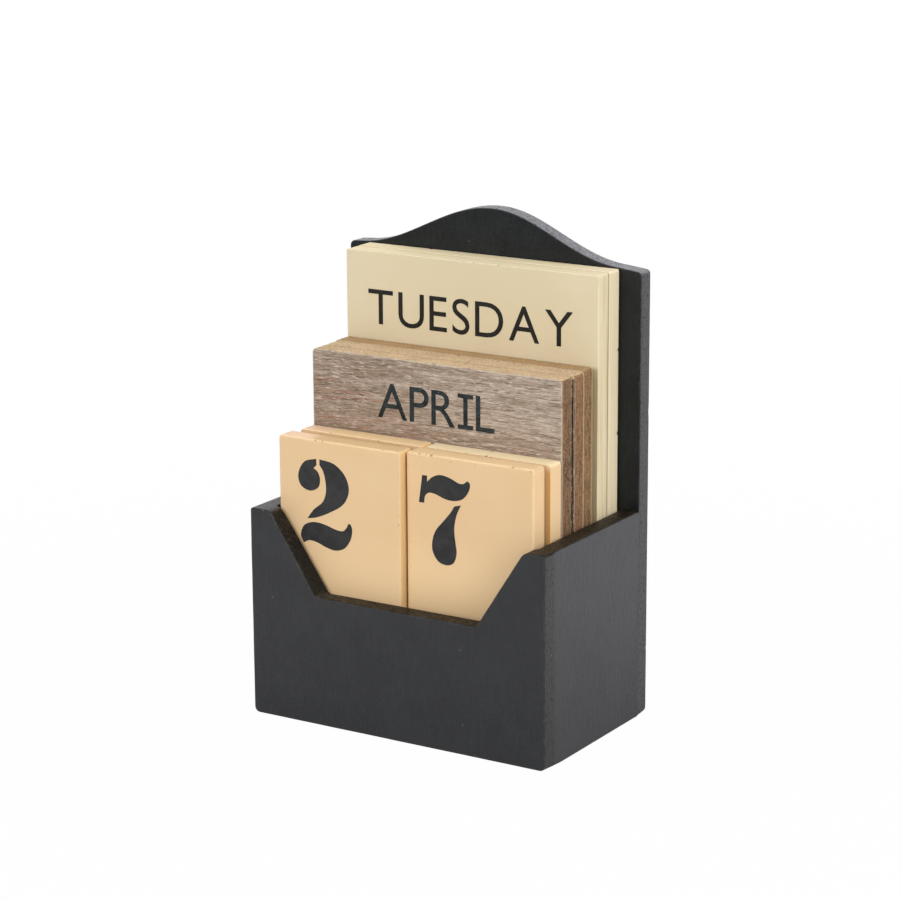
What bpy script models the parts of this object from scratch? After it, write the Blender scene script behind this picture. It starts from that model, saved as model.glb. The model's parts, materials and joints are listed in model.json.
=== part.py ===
"""Perpetual block calendar: an open wooden box with a tall bell-topped back.

Two weekday plates, three month plates and four date tiles stand loose in the box, one
behind the other, and each lifts straight up. Metres, X to the right, Y to the back, Z up.
The origin is the middle of the underside of the box.
"""

import math

import bmesh
import bpy
from mathutils import Matrix, Vector

OBJECT_NAME = "block_calendar"

# Panels of the box
BOX_WIDTH = 0.100
PANEL_THICKNESS = 0.0055
FLOOR_THICKNESS = 0.0055
WALL_HEIGHT = 0.0632
SHOULDER_HEIGHT = 0.1345
SHOULDER_WIDTH = 0.0034
BELL_RISE = 0.0137
BELL_RIGHT_POWER = 1.17
FOOT_CORNER_RADIUS = 0.0015
TOP_CORNER_RADIUS = 0.0008
PANEL_EDGE_RADIUS = 0.0006

# Notch in the front panel, between two flat horns
HORN_WIDTH = 0.007
NOTCH_SLOPE_RUN = 0.0155
NOTCH_DEPTH = 0.024
NOTCH_BROW_RADIUS = 0.003
NOTCH_FLOOR_RADIUS = 0.0015

# Plates and tiles, all cut from one thickness of board
PLATE_THICKNESS = 0.006
WEEKDAY_PLATE_HEIGHT = 0.1285
MONTH_PLATE_HEIGHT = 0.102
DATE_TILE_HEIGHT = 0.0789
PLATE_EDGE_RADIUS = 0.00035

# Free play across the width of the pocket
WEEKDAY_SIDE_PLAY = 0.003
MONTH_SIDE_PLAY = 0.0043
TILE_SIDE_PLAY = 0.0046
TILE_COLUMN_GAP = 0.0005

# Gaps along the depth of the pocket, each behind the piece that it is named for
PIECE_GAP = 0.0003
WEEKDAY_FRONT_GAP = 0.0006
MONTH_FRONT_GAP = 0.001
LEFT_TILE_REAR_GAP = 0.0005
LEFT_TILE_FRONT_GAP = 0.0032
RIGHT_TILE_FRONT_GAP = 0.0009
FRONT_PLAY = 0.0008

# How far plates have slipped sideways, as shares of the play on each side of them
PLATE_SLIP_SHARES = {
    "weekday_plate_rear": 0.0,
    "weekday_plate_front": 0.13,
    "month_plate_rear": -0.3,
    "month_plate_middle": 0.07,
    "month_plate_front": 0.11,
}

# How far each pair of tiles stands from the left wall, as shares of the whole play
TILE_SLIP_SHARES = {"rear": 0.48, "front": 0.17}

# Mesh making
WELD_DISTANCE = 0.000001
SHARP_ANGLE = math.radians(30)
FLAT_ANGLE = math.radians(0.1)
FILLET_STEPS = 6
BELL_STEPS = 40
EDGE_SEGMENTS = 2

# Depths from the back panel forward, and the sizes that follow from them
PLATE_GAPS = (PIECE_GAP, WEEKDAY_FRONT_GAP, PIECE_GAP, PIECE_GAP, MONTH_FRONT_GAP)
LEFT_TILE_GAPS = (LEFT_TILE_REAR_GAP, LEFT_TILE_FRONT_GAP)
RIGHT_TILE_GAPS = (PIECE_GAP, RIGHT_TILE_FRONT_GAP)


def stack_depth(gaps):
    """Depth taken by one plate behind each gap, with the gaps."""
    return sum(gaps) + len(gaps) * PLATE_THICKNESS


TILE_DEPTH = max(stack_depth(LEFT_TILE_GAPS), stack_depth(RIGHT_TILE_GAPS))
POCKET_DEPTH = stack_depth(PLATE_GAPS) + TILE_DEPTH + FRONT_PLAY
POCKET_WIDTH = BOX_WIDTH - 2 * PANEL_THICKNESS
PANEL_MID_Y = (POCKET_DEPTH + PANEL_THICKNESS) / 2
TILE_WIDTH = (POCKET_WIDTH - TILE_SIDE_PLAY) / 2
PLATE_FOOT_Z = FLOOR_THICKNESS + PIECE_GAP

# Linear colour, roughness and metallic value of each finish
FINISHES = {
    "charcoal_paint": ((0.046, 0.048, 0.051), 0.62, 0.0),
    "cream_board": ((0.72, 0.62, 0.42), 0.6, 0.0),
    "walnut_board": ((0.38, 0.29, 0.22), 0.65, 0.0),
    "peach_board": ((0.79, 0.56, 0.32), 0.6, 0.0),
}


def clear_scene():
    """Remove every object that the file holds."""
    for item in list(bpy.data.objects):
        bpy.data.objects.remove(item, do_unlink=True)


def new_collection(name):
    """Collection linked to the scene."""
    collection = bpy.data.collections.new(name)
    bpy.context.scene.collection.children.link(collection)
    return collection


def new_material(name, finish):
    """Principled material in one of the named finishes."""
    colour, roughness, metallic = FINISHES[finish]
    material = bpy.data.materials.new(name)
    material.use_nodes = True
    shader = material.node_tree.nodes["Principled BSDF"]
    shader.inputs["Base Color"].default_value = (*colour, 1.0)
    shader.inputs["Roughness"].default_value = roughness
    shader.inputs["Metallic"].default_value = metallic
    return material


def fillet(previous, corner, following, radius):
    """Points of the arc that rounds one corner of an outline."""
    backward = (previous - corner).normalized()
    forward = (following - corner).normalized()
    half_angle = backward.angle(forward) / 2
    centre = corner + (backward + forward).normalized() * radius / math.sin(half_angle)
    start = corner + backward * radius / math.tan(half_angle) - centre
    end = corner + forward * radius / math.tan(half_angle) - centre
    turn = start.angle_signed(end)
    return [
        centre + Matrix.Rotation(-turn * step / FILLET_STEPS, 2) @ start
        for step in range(FILLET_STEPS + 1)
    ]


def rounded_outline(corners):
    """Outline points from (x, z, radius) corners; a corner of radius 0 stays a point."""
    points = []
    for index, (x, z, radius) in enumerate(corners):
        corner = Vector((x, z))
        if radius == 0:
            points.append(corner)
            continue
        previous = Vector(corners[index - 1][:2])
        following = Vector(corners[(index + 1) % len(corners)][:2])
        points.extend(fillet(previous, corner, following, radius))
    return points


def is_cap_seam(edge):
    """Whether an edge only divides the flat front or back of a panel."""
    normal = edge.link_faces[0].normal
    faces_forward = abs(normal.y) > abs(normal.x) + abs(normal.z)
    return faces_forward and edge.calc_face_angle(math.pi) < FLAT_ANGLE


def outline_model(points, thickness):
    """Flat panel with an (x, z) outline, its thickness centred on y = 0."""
    curve = bpy.data.curves.new("outline", "CURVE")
    curve.dimensions = "2D"
    curve.fill_mode = "BOTH"
    curve.extrude = thickness / 2
    spline = curve.splines.new("POLY")
    spline.points.add(len(points) - 1)
    for place, (x, z) in zip(spline.points, points):
        place.co = (x, z, 0, 1)
    spline.use_cyclic_u = True
    guide = bpy.data.objects.new("outline", curve)
    bpy.context.scene.collection.objects.link(guide)
    evaluated = guide.evaluated_get(bpy.context.evaluated_depsgraph_get())
    mesh = bpy.data.meshes.new_from_object(evaluated)
    bpy.data.objects.remove(guide, do_unlink=True)
    model = bmesh.new()
    model.from_mesh(mesh)
    bmesh.ops.remove_doubles(model, verts=model.verts, dist=WELD_DISTANCE)
    bmesh.ops.rotate(model, matrix=Matrix.Rotation(math.pi / 2, 3, "X"), verts=model.verts)
    cap_seams = [edge for edge in model.edges if is_cap_seam(edge)]
    bmesh.ops.dissolve_edges(model, edges=cap_seams, use_verts=False)
    bmesh.ops.recalc_face_normals(model, faces=model.faces)
    return model


def slab_model(width, depth, height):
    """Box with the middle of its underside on the origin."""
    model = bmesh.new()
    bmesh.ops.create_cube(model, size=1)
    bmesh.ops.scale(model, vec=Vector((width, depth, height)), verts=model.verts)
    bmesh.ops.translate(model, vec=Vector((0, 0, height / 2)), verts=model.verts)
    return model


def mark_eased_edges(model, is_joint):
    """Give each sharp edge full bevel weight, unless it lies on a glued joint."""
    weights = model.edges.layers.float.new("bevel_weight_edge")
    for edge in model.edges:
        middle = (edge.verts[0].co + edge.verts[1].co) / 2
        along = (edge.verts[1].co - edge.verts[0].co).normalized()
        if edge.calc_face_angle(0) > SHARP_ANGLE and not is_joint(middle, along):
            edge[weights] = 1


def new_piece(name, model, finish, location, edge_radius, parts, origin):
    """Finished object from a marked model: eased edges, own material, place and parent."""
    mesh = bpy.data.meshes.new(name)
    model.to_mesh(mesh)
    model.free()
    mesh.shade_smooth()
    mesh.set_sharp_from_angle(angle=SHARP_ANGLE)
    mesh.materials.append(new_material(name, finish))
    piece = bpy.data.objects.new(name, mesh)
    parts.objects.link(piece)
    piece.parent = origin
    piece.location = location
    bevel = piece.modifiers.new("eased_edges", "BEVEL")
    bevel.limit_method = "WEIGHT"
    bevel.width = edge_radius
    bevel.segments = EDGE_SEGMENTS
    return piece


def notch_corners():
    """Corners of the notch from right to left, with their radii."""
    brow_x = BOX_WIDTH / 2 - HORN_WIDTH
    floor_x = brow_x - NOTCH_SLOPE_RUN
    floor_z = WALL_HEIGHT - NOTCH_DEPTH
    return [
        (brow_x, WALL_HEIGHT, NOTCH_BROW_RADIUS),
        (floor_x, floor_z, NOTCH_FLOOR_RADIUS),
        (-floor_x, floor_z, NOTCH_FLOOR_RADIUS),
        (-brow_x, WALL_HEIGHT, NOTCH_BROW_RADIUS),
    ]


def bell_corners():
    """Points of the bell from right to left: one wave of a cosine, cut deeper on its right flank."""
    half_width = BOX_WIDTH / 2 - SHOULDER_WIDTH
    corners = []
    for step in range(BELL_STEPS + 1):
        turn = math.pi * (1 - 2 * step / BELL_STEPS)
        power = BELL_RIGHT_POWER if turn > 0 else 1
        rise = BELL_RISE * ((1 + math.cos(turn)) / 2) ** power
        corners.append((half_width * turn / math.pi, SHOULDER_HEIGHT + rise, 0))
    return corners


def front_panel(parts, origin):
    """Full-width front wall, low in the middle so that the date tiles show."""
    side_x = BOX_WIDTH / 2
    corners = [
        (-side_x, 0, FOOT_CORNER_RADIUS),
        (side_x, 0, FOOT_CORNER_RADIUS),
        (side_x, WALL_HEIGHT, TOP_CORNER_RADIUS),
        *notch_corners(),
        (-side_x, WALL_HEIGHT, TOP_CORNER_RADIUS),
    ]

    def is_joint(middle, along):
        at_walls = abs(middle.x) > side_x - HORN_WIDTH
        return middle.y > 0 and (at_walls or middle.z < FOOT_CORNER_RADIUS)

    model = outline_model(rounded_outline(corners), PANEL_THICKNESS)
    mark_eased_edges(model, is_joint)
    location = (0, -PANEL_MID_Y, 0)
    new_piece("front_panel", model, "charcoal_paint", location, PANEL_EDGE_RADIUS, parts, origin)


def back_panel(parts, origin):
    """Full-width back wall that rises behind the plates to a bell-shaped top."""
    side_x = BOX_WIDTH / 2
    corners = [
        (-side_x, 0, FOOT_CORNER_RADIUS),
        (side_x, 0, FOOT_CORNER_RADIUS),
        (side_x, WALL_HEIGHT, 0),
        (side_x, SHOULDER_HEIGHT, TOP_CORNER_RADIUS),
        *bell_corners(),
        (-side_x, SHOULDER_HEIGHT, TOP_CORNER_RADIUS),
        (-side_x, WALL_HEIGHT, 0),
    ]

    def is_joint(middle, along):
        return middle.y < 0 and middle.z < WALL_HEIGHT

    model = outline_model(rounded_outline(corners), PANEL_THICKNESS)
    mark_eased_edges(model, is_joint)
    location = (0, PANEL_MID_Y, 0)
    new_piece("back_panel", model, "charcoal_paint", location, PANEL_EDGE_RADIUS, parts, origin)


def side_panel(name, side, parts, origin):
    """Side wall butted between the front and back panels; side is -1 left or 1 right."""

    def is_joint(middle, along):
        runs_back = abs(along.y) > abs(along.x) + abs(along.z)
        inner_foot = middle.x * side < 0 and middle.z < FLOOR_THICKNESS
        return inner_foot or not runs_back

    model = slab_model(PANEL_THICKNESS, POCKET_DEPTH - 2 * PIECE_GAP, WALL_HEIGHT)
    mark_eased_edges(model, is_joint)
    location = (side * (POCKET_WIDTH + PANEL_THICKNESS) / 2, 0, 0)
    new_piece(name, model, "charcoal_paint", location, PANEL_EDGE_RADIUS, parts, origin)


def floor_panel(parts, origin):
    """Floor let in between the four walls, flush with their feet."""

    def is_joint(middle, along):
        return middle.z + PIECE_GAP < FLOOR_THICKNESS

    width = POCKET_WIDTH - 2 * PIECE_GAP
    depth = POCKET_DEPTH - 2 * PIECE_GAP
    model = slab_model(width, depth, FLOOR_THICKNESS)
    mark_eased_edges(model, is_joint)
    new_piece("floor_panel", model, "charcoal_paint", (0, 0, 0), PANEL_EDGE_RADIUS, parts, origin)


def board(name, width, height, finish, x, y, parts, origin):
    """Loose plate or tile that stands on the floor; it lifts along the Z axis of its origin."""
    model = slab_model(width, PLATE_THICKNESS, height)
    mark_eased_edges(model, lambda middle, along: False)
    new_piece(name, model, finish, (x, y, PLATE_FOOT_Z), PLATE_EDGE_RADIUS, parts, origin)


def stack_places(back_y, gaps):
    """Middle y of the plate in front of each gap, and the y of the last plate's front face."""
    places = []
    face_y = back_y
    for gap in gaps:
        places.append(face_y - gap - PLATE_THICKNESS / 2)
        face_y -= gap + PLATE_THICKNESS
    return places, face_y


def weekday_and_month_plates(parts, origin):
    """The five full-width plates; returns the y of the foremost face."""
    places, face_y = stack_places(POCKET_DEPTH / 2, PLATE_GAPS)
    kinds = {
        "weekday": (WEEKDAY_SIDE_PLAY, WEEKDAY_PLATE_HEIGHT, "cream_board"),
        "month": (MONTH_SIDE_PLAY, MONTH_PLATE_HEIGHT, "walnut_board"),
    }
    for (name, slip_share), y in zip(PLATE_SLIP_SHARES.items(), places):
        side_play, height, finish = kinds[name.split("_")[0]]
        x = slip_share * side_play / 2
        board(name, POCKET_WIDTH - side_play, height, finish, x, y, parts, origin)
    return face_y


def date_tiles(back_y, parts, origin):
    """Two columns of two half-width tiles, side by side in front of the month plates."""
    column_gaps = (("left", LEFT_TILE_GAPS), ("right", RIGHT_TILE_GAPS))
    for column, (side, gaps) in enumerate(column_gaps):
        places, _ = stack_places(back_y, gaps)
        for (rank, slip_share), y in zip(TILE_SLIP_SHARES.items(), places):
            left_edge = slip_share * TILE_SIDE_PLAY + column * (TILE_WIDTH + TILE_COLUMN_GAP)
            x = left_edge + (TILE_WIDTH - POCKET_WIDTH) / 2
            name = f"{side}_date_tile_{rank}"
            board(name, TILE_WIDTH, DATE_TILE_HEIGHT, "peach_board", x, y, parts, origin)


def main():
    """Build the whole calendar."""
    clear_scene()
    parts = new_collection(OBJECT_NAME)
    origin = bpy.data.objects.new("calendar_origin", None)
    parts.objects.link(origin)
    front_panel(parts, origin)
    back_panel(parts, origin)
    side_panel("left_side_panel", -1, parts, origin)
    side_panel("right_side_panel", 1, parts, origin)
    floor_panel(parts, origin)
    foremost_y = weekday_and_month_plates(parts, origin)
    date_tiles(foremost_y, parts, origin)


main()
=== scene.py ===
"""Looks of the block calendar: painted box, printed plates and tiles, floor, light and camera.

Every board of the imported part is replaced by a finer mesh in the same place, with eased and
worn edges, and the words and digits are printed on it as thin ink. Metres, X to the right,
Y to the back, Z up; the box stands on Z = 0 and its notched front faces -Y.
"""

import json
import logging
import math
import random
from dataclasses import dataclass
from enum import Enum
from typing import Mapping, Sequence, Union

import bmesh
import bpy
import numpy as np
from mathutils import Matrix, Vector, noise

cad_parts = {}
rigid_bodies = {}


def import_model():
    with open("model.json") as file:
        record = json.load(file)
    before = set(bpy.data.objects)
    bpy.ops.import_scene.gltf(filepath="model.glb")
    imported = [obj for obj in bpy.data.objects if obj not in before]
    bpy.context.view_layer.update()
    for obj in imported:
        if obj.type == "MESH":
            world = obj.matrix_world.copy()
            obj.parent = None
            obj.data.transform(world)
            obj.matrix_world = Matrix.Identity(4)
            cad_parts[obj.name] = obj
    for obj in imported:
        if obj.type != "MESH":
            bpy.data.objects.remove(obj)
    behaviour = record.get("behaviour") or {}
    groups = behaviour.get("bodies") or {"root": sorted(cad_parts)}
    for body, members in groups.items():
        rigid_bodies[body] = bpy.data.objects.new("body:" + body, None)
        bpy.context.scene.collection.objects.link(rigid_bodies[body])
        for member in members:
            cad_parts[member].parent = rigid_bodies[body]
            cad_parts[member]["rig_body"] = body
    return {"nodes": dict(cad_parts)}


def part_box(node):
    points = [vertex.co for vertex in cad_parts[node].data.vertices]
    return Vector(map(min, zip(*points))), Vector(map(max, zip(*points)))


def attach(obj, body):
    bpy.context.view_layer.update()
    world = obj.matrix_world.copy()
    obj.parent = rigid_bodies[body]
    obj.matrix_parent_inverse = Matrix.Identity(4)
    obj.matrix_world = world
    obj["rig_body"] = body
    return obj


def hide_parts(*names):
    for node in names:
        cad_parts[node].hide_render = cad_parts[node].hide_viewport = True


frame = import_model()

MM = 0.001
EDGE_LAYER = "edge_mm"
RIM_LAYER = "rim"
FRONT_LAYER = "from_front_mm"
DENT_LAYER = "dent"
DULL_GLOSS = 0.05
CLOSE_UP_STEP = 0.25 * MM
CLOSE_UP_ROWS = 8
WHITE = (1.0, 1.0, 1.0, 1.0)
BLACK = (0.0, 0.0, 0.0, 1.0)

log = logging.getLogger("calendar")

Colour = tuple[float, float, float, float]
Point = tuple[float, float]
Solid = tuple[np.ndarray, list[tuple[int, ...]]]


def paint_code(red: int, green: int, blue: int) -> Colour:
    """Linear colour of a swatch that is given in display values.

    Args:
        red: Display red, 0 to 255.
        green: Display green, 0 to 255.
        blue: Display blue, 0 to 255.

    Returns:
        Linear red, green, blue and an alpha of 1.
    """
    channels = []
    for value in (red, green, blue):
        share = value / 255
        if share <= 0.04045:
            channels.append(share / 12.92)
        else:
            channels.append(((share + 0.055) / 1.055) ** 2.4)
    return (*channels, 1.0)


# Shader values


class Value:
    """A shader value that Python sums can be written with."""

    def __init__(self, surface: "Surface", socket: bpy.types.NodeSocket) -> None:
        """Wrap one output socket of a surface's nodes.

        Args:
            surface: Surface that the socket belongs to.
            socket: Output socket that carries the value.
        """
        self.surface = surface
        self.socket = socket

    def math(self, operation: str, first: "Input", second: "Input" = 0.0) -> "Value":
        """Result of one Math node.

        Args:
            operation: Name of the node's operation.
            first: First number.
            second: Second number.

        Returns:
            The node's result.
        """
        return self.surface.node("ShaderNodeMath", {"operation": operation}, {0: first, 1: second})

    def __add__(self, other: "Input") -> "Value":
        """Sum."""
        return self.math("ADD", self, other)

    def __radd__(self, other: "Input") -> "Value":
        """Sum with the number on the left."""
        return self.math("ADD", other, self)

    def __sub__(self, other: "Input") -> "Value":
        """Difference."""
        return self.math("SUBTRACT", self, other)

    def __rsub__(self, other: "Input") -> "Value":
        """Difference with the number on the left."""
        return self.math("SUBTRACT", other, self)

    def __mul__(self, other: "Input") -> "Value":
        """Product."""
        return self.math("MULTIPLY", self, other)

    def __rmul__(self, other: "Input") -> "Value":
        """Product with the number on the left."""
        return self.math("MULTIPLY", other, self)

    def __abs__(self) -> "Value":
        """Size without its sign."""
        return self.math("ABSOLUTE", self)

    def at_most(self, other: "Input") -> "Value":
        """Smaller of two values."""
        return self.math("MINIMUM", self, other)

    def at_least(self, other: "Input") -> "Value":
        """Larger of two values."""
        return self.math("MAXIMUM", self, other)

    def fade(self, low: float, high: float) -> "Value":
        """Mask that rises smoothly from 0 at low to 1 at high; falls where low is the larger.

        Args:
            low: Value at which the mask is 0.
            high: Value at which the mask is 1.

        Returns:
            The mask.
        """
        settings = {"interpolation_type": "SMOOTHSTEP"}
        if low < high:
            return self.surface.node("ShaderNodeMapRange", settings, {0: self, 1: low, 2: high})
        sockets = {0: self, 1: high, 2: low, 3: 1.0, 4: 0.0}
        return self.surface.node("ShaderNodeMapRange", settings, sockets)

    def fade_from(self, base: float, low: float, high: float) -> "Value":
        """Mask that rises smoothly from a base value at low to 1 at high."""
        return self.fade(low, high) * (1 - base) + base


Input = Union[float, Sequence[float], Value]


class Surface:
    """The node tree of one material or of the world."""

    def __init__(self, tree: bpy.types.NodeTree, unwanted: str = "Principled BSDF") -> None:
        """Start with a node tree and take out the shader that it comes with."""
        self.tree = tree
        tree.nodes.remove(tree.nodes[unwanted])

    def show(self, shader: Value, output: str = "Material Output") -> None:
        """Let the tree show a shader."""
        self.tree.links.new(shader.socket, self.tree.nodes[output].inputs["Surface"])

    def node(
        self,
        kind: str,
        settings: Mapping[str, object],
        sockets: Mapping[Union[int, str], Input],
        output: Union[int, str] = 0,
    ) -> Value:
        """Add one node.

        Args:
            kind: Type of the node.
            settings: Properties that are set before the sockets.
            sockets: Values or links for the input sockets, by place or name.
            output: Place or name of the output socket that is wanted.

        Returns:
            The wanted output.
        """
        made = self.tree.nodes.new(kind)
        for name, value in settings.items():
            setattr(made, name, value)
        for key, value in sockets.items():
            if isinstance(value, Value):
                self.tree.links.new(value.socket, made.inputs[key])
            else:
                made.inputs[key].default_value = value
        return Value(self, made.outputs[output])

    def here(self) -> Value:
        """Object coordinates in metres."""
        return self.node("ShaderNodeTexCoord", {}, {}, "Object")

    def along(self, axis: str) -> Value:
        """Place along an axis of the object, in metres."""
        return self.node("ShaderNodeSeparateXYZ", {}, {0: self.here()}, axis)

    def scaled(self, here: Value, scale: Sequence[float], shift: float) -> Value:
        """Coordinates times a scale per metre, all three then moved along by a shift."""
        sockets = {0: here, 1: scale, 2: (shift, shift, shift)}
        return self.node("ShaderNodeVectorMath", {"operation": "MULTIPLY_ADD"}, sockets)

    def place(self, scale: Sequence[float], shift: float) -> Value:
        """Object coordinates times a scale per metre, moved along by a shift."""
        return self.scaled(self.here(), scale, shift)

    def in_mm(self, shift: float) -> Value:
        """Object coordinates in millimetres, moved along by a shift."""
        return self.place((1000, 1000, 1000), shift)

    def bent_place(self, scale: Sequence[float], shift: float, bend: float) -> Value:
        """Object coordinates whose heights wander gently, times a scale per metre.

        Args:
            scale: Scale along X, Y and Z.
            shift: Distance, after scaling, by which all three move.
            bend: How far the heights wander, in metres.

        Returns:
            The coordinates.
        """
        wander = (self.clouds(self.place((24, 24, 50), shift), 1.0, 1.0) - 0.5) * bend
        lift = self.node("ShaderNodeCombineXYZ", {}, {2: wander})
        moved = self.node("ShaderNodeVectorMath", {"operation": "ADD"}, {0: self.here(), 1: lift})
        return self.scaled(moved, scale, shift)

    def facing(self, axis: str) -> Value:
        """How far the surface faces along an axis of the object, from -1 to 1."""
        normal = self.node("ShaderNodeTexCoord", {}, {}, "Normal")
        return self.node("ShaderNodeSeparateXYZ", {}, {0: normal}, axis)

    def on_top(self) -> Value:
        """Mask of what faces up."""
        return self.facing("Z").fade(0.5, 0.8)

    def on_side(self) -> Value:
        """Mask of what faces left or right."""
        return abs(self.facing("X")).fade(0.5, 0.8)

    def on_front(self) -> Value:
        """Mask of what faces the front."""
        return self.facing("Y").fade(-0.5, -0.9)

    def clouds(
        self, at: Value, scale: float, detail: float, roughness: float = 0.5, distortion: float = 0.0
    ) -> Value:
        """Noise from about 0 to 1.

        Args:
            at: Coordinates.
            scale: Scale of the noise.
            detail: Number of finer layers.
            roughness: Weight of the finer layers.
            distortion: How far the noise is bent by itself.

        Returns:
            The noise.
        """
        sockets = {
            "Vector": at,
            "Scale": scale,
            "Detail": detail,
            "Roughness": roughness,
            "Distortion": distortion,
        }
        return self.node("ShaderNodeTexNoise", {"noise_dimensions": "3D"}, sockets, "Fac")

    def tint(self, mask: Input, first: Input, second: Input) -> Value:
        """Colour that goes from first to second with a mask.

        Args:
            mask: 0 for the first colour, 1 for the second.
            first: First colour.
            second: Second colour.

        Returns:
            The mixed colour.
        """
        settings = {"data_type": "RGBA", "clamp_factor": True}
        return self.node("ShaderNodeMix", settings, {0: mask, 6: first, 7: second}, 2)

    def coats(self, colour: Input, *over: tuple[Input, Input]) -> Value:
        """Colour with other colours laid over it, each where its own mask is 1.

        Args:
            colour: Lowest colour.
            over: Mask and colour of each coat, from the lowest up.

        Returns:
            The mixed colour.
        """
        for mask, coat in over:
            colour = self.tint(mask, colour, coat)
        return colour

    def blend(self, mask: Input, first: Value, second: Value) -> Value:
        """Shader that goes from first to second with a mask."""
        return self.node("ShaderNodeMixShader", {}, {0: mask, 1: first, 2: second})

    def layer(self, name: str) -> Value:
        """A number that the mesh carries at its points."""
        return self.node("ShaderNodeAttribute", {"attribute_name": name}, {}, "Fac")

    def relief(self, height: Value, depth: float, under: Union[Value, None] = None) -> Value:
        """Normal of a surface with fine relief.

        Args:
            height: Height from 0 to 1.
            depth: Real depth of the relief, in metres.
            under: Normal of a coarser relief below this one.

        Returns:
            The normal.
        """
        sockets = {"Strength": 1.0, "Distance": depth, "Height": height}
        if under is not None:
            sockets["Normal"] = under
        return self.node("ShaderNodeBump", {}, sockets, "Normal")


# Finishes


@dataclass(frozen=True)
class Finish:
    """A finish that can be given to a board; shift sets one board's grain off from the next."""

    slot: str

    def look(self, surface: Surface, shift: float) -> Mapping[str, Input]:
        """Values for the sockets of the Principled shader.

        Args:
            surface: Surface to add nodes to.
            shift: Offset of the pattern.

        Returns:
            Values or links by socket name.
        """
        raise NotImplementedError

    def dull_share(self, surface: Surface) -> Union[Value, None]:
        """Mask of the places that have lost their gloss, or None where the gloss is even.

        Args:
            surface: Surface to add nodes to.

        Returns:
            The mask.
        """
        return None

    def give_to(self, piece: bpy.types.Object, shift: float) -> None:
        """Put the finish on a piece.

        Args:
            piece: Object to finish.
            shift: Offset of the pattern.
        """
        material = bpy.data.materials.new(f"{piece.name}_finish")
        material.use_nodes = True
        surface = Surface(material.node_tree)
        sockets = dict(self.look(surface, shift))
        shader = surface.node("ShaderNodeBsdfPrincipled", {}, sockets, "BSDF")
        dull_share = self.dull_share(surface)
        if dull_share is not None:
            sockets["Specular IOR Level"] = DULL_GLOSS
            dull = surface.node("ShaderNodeBsdfPrincipled", {}, sockets, "BSDF")
            shader = surface.blend(dull_share, shader, dull)
        surface.show(shader)
        piece.data.materials.clear()
        piece.data.materials.append(material)


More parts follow.
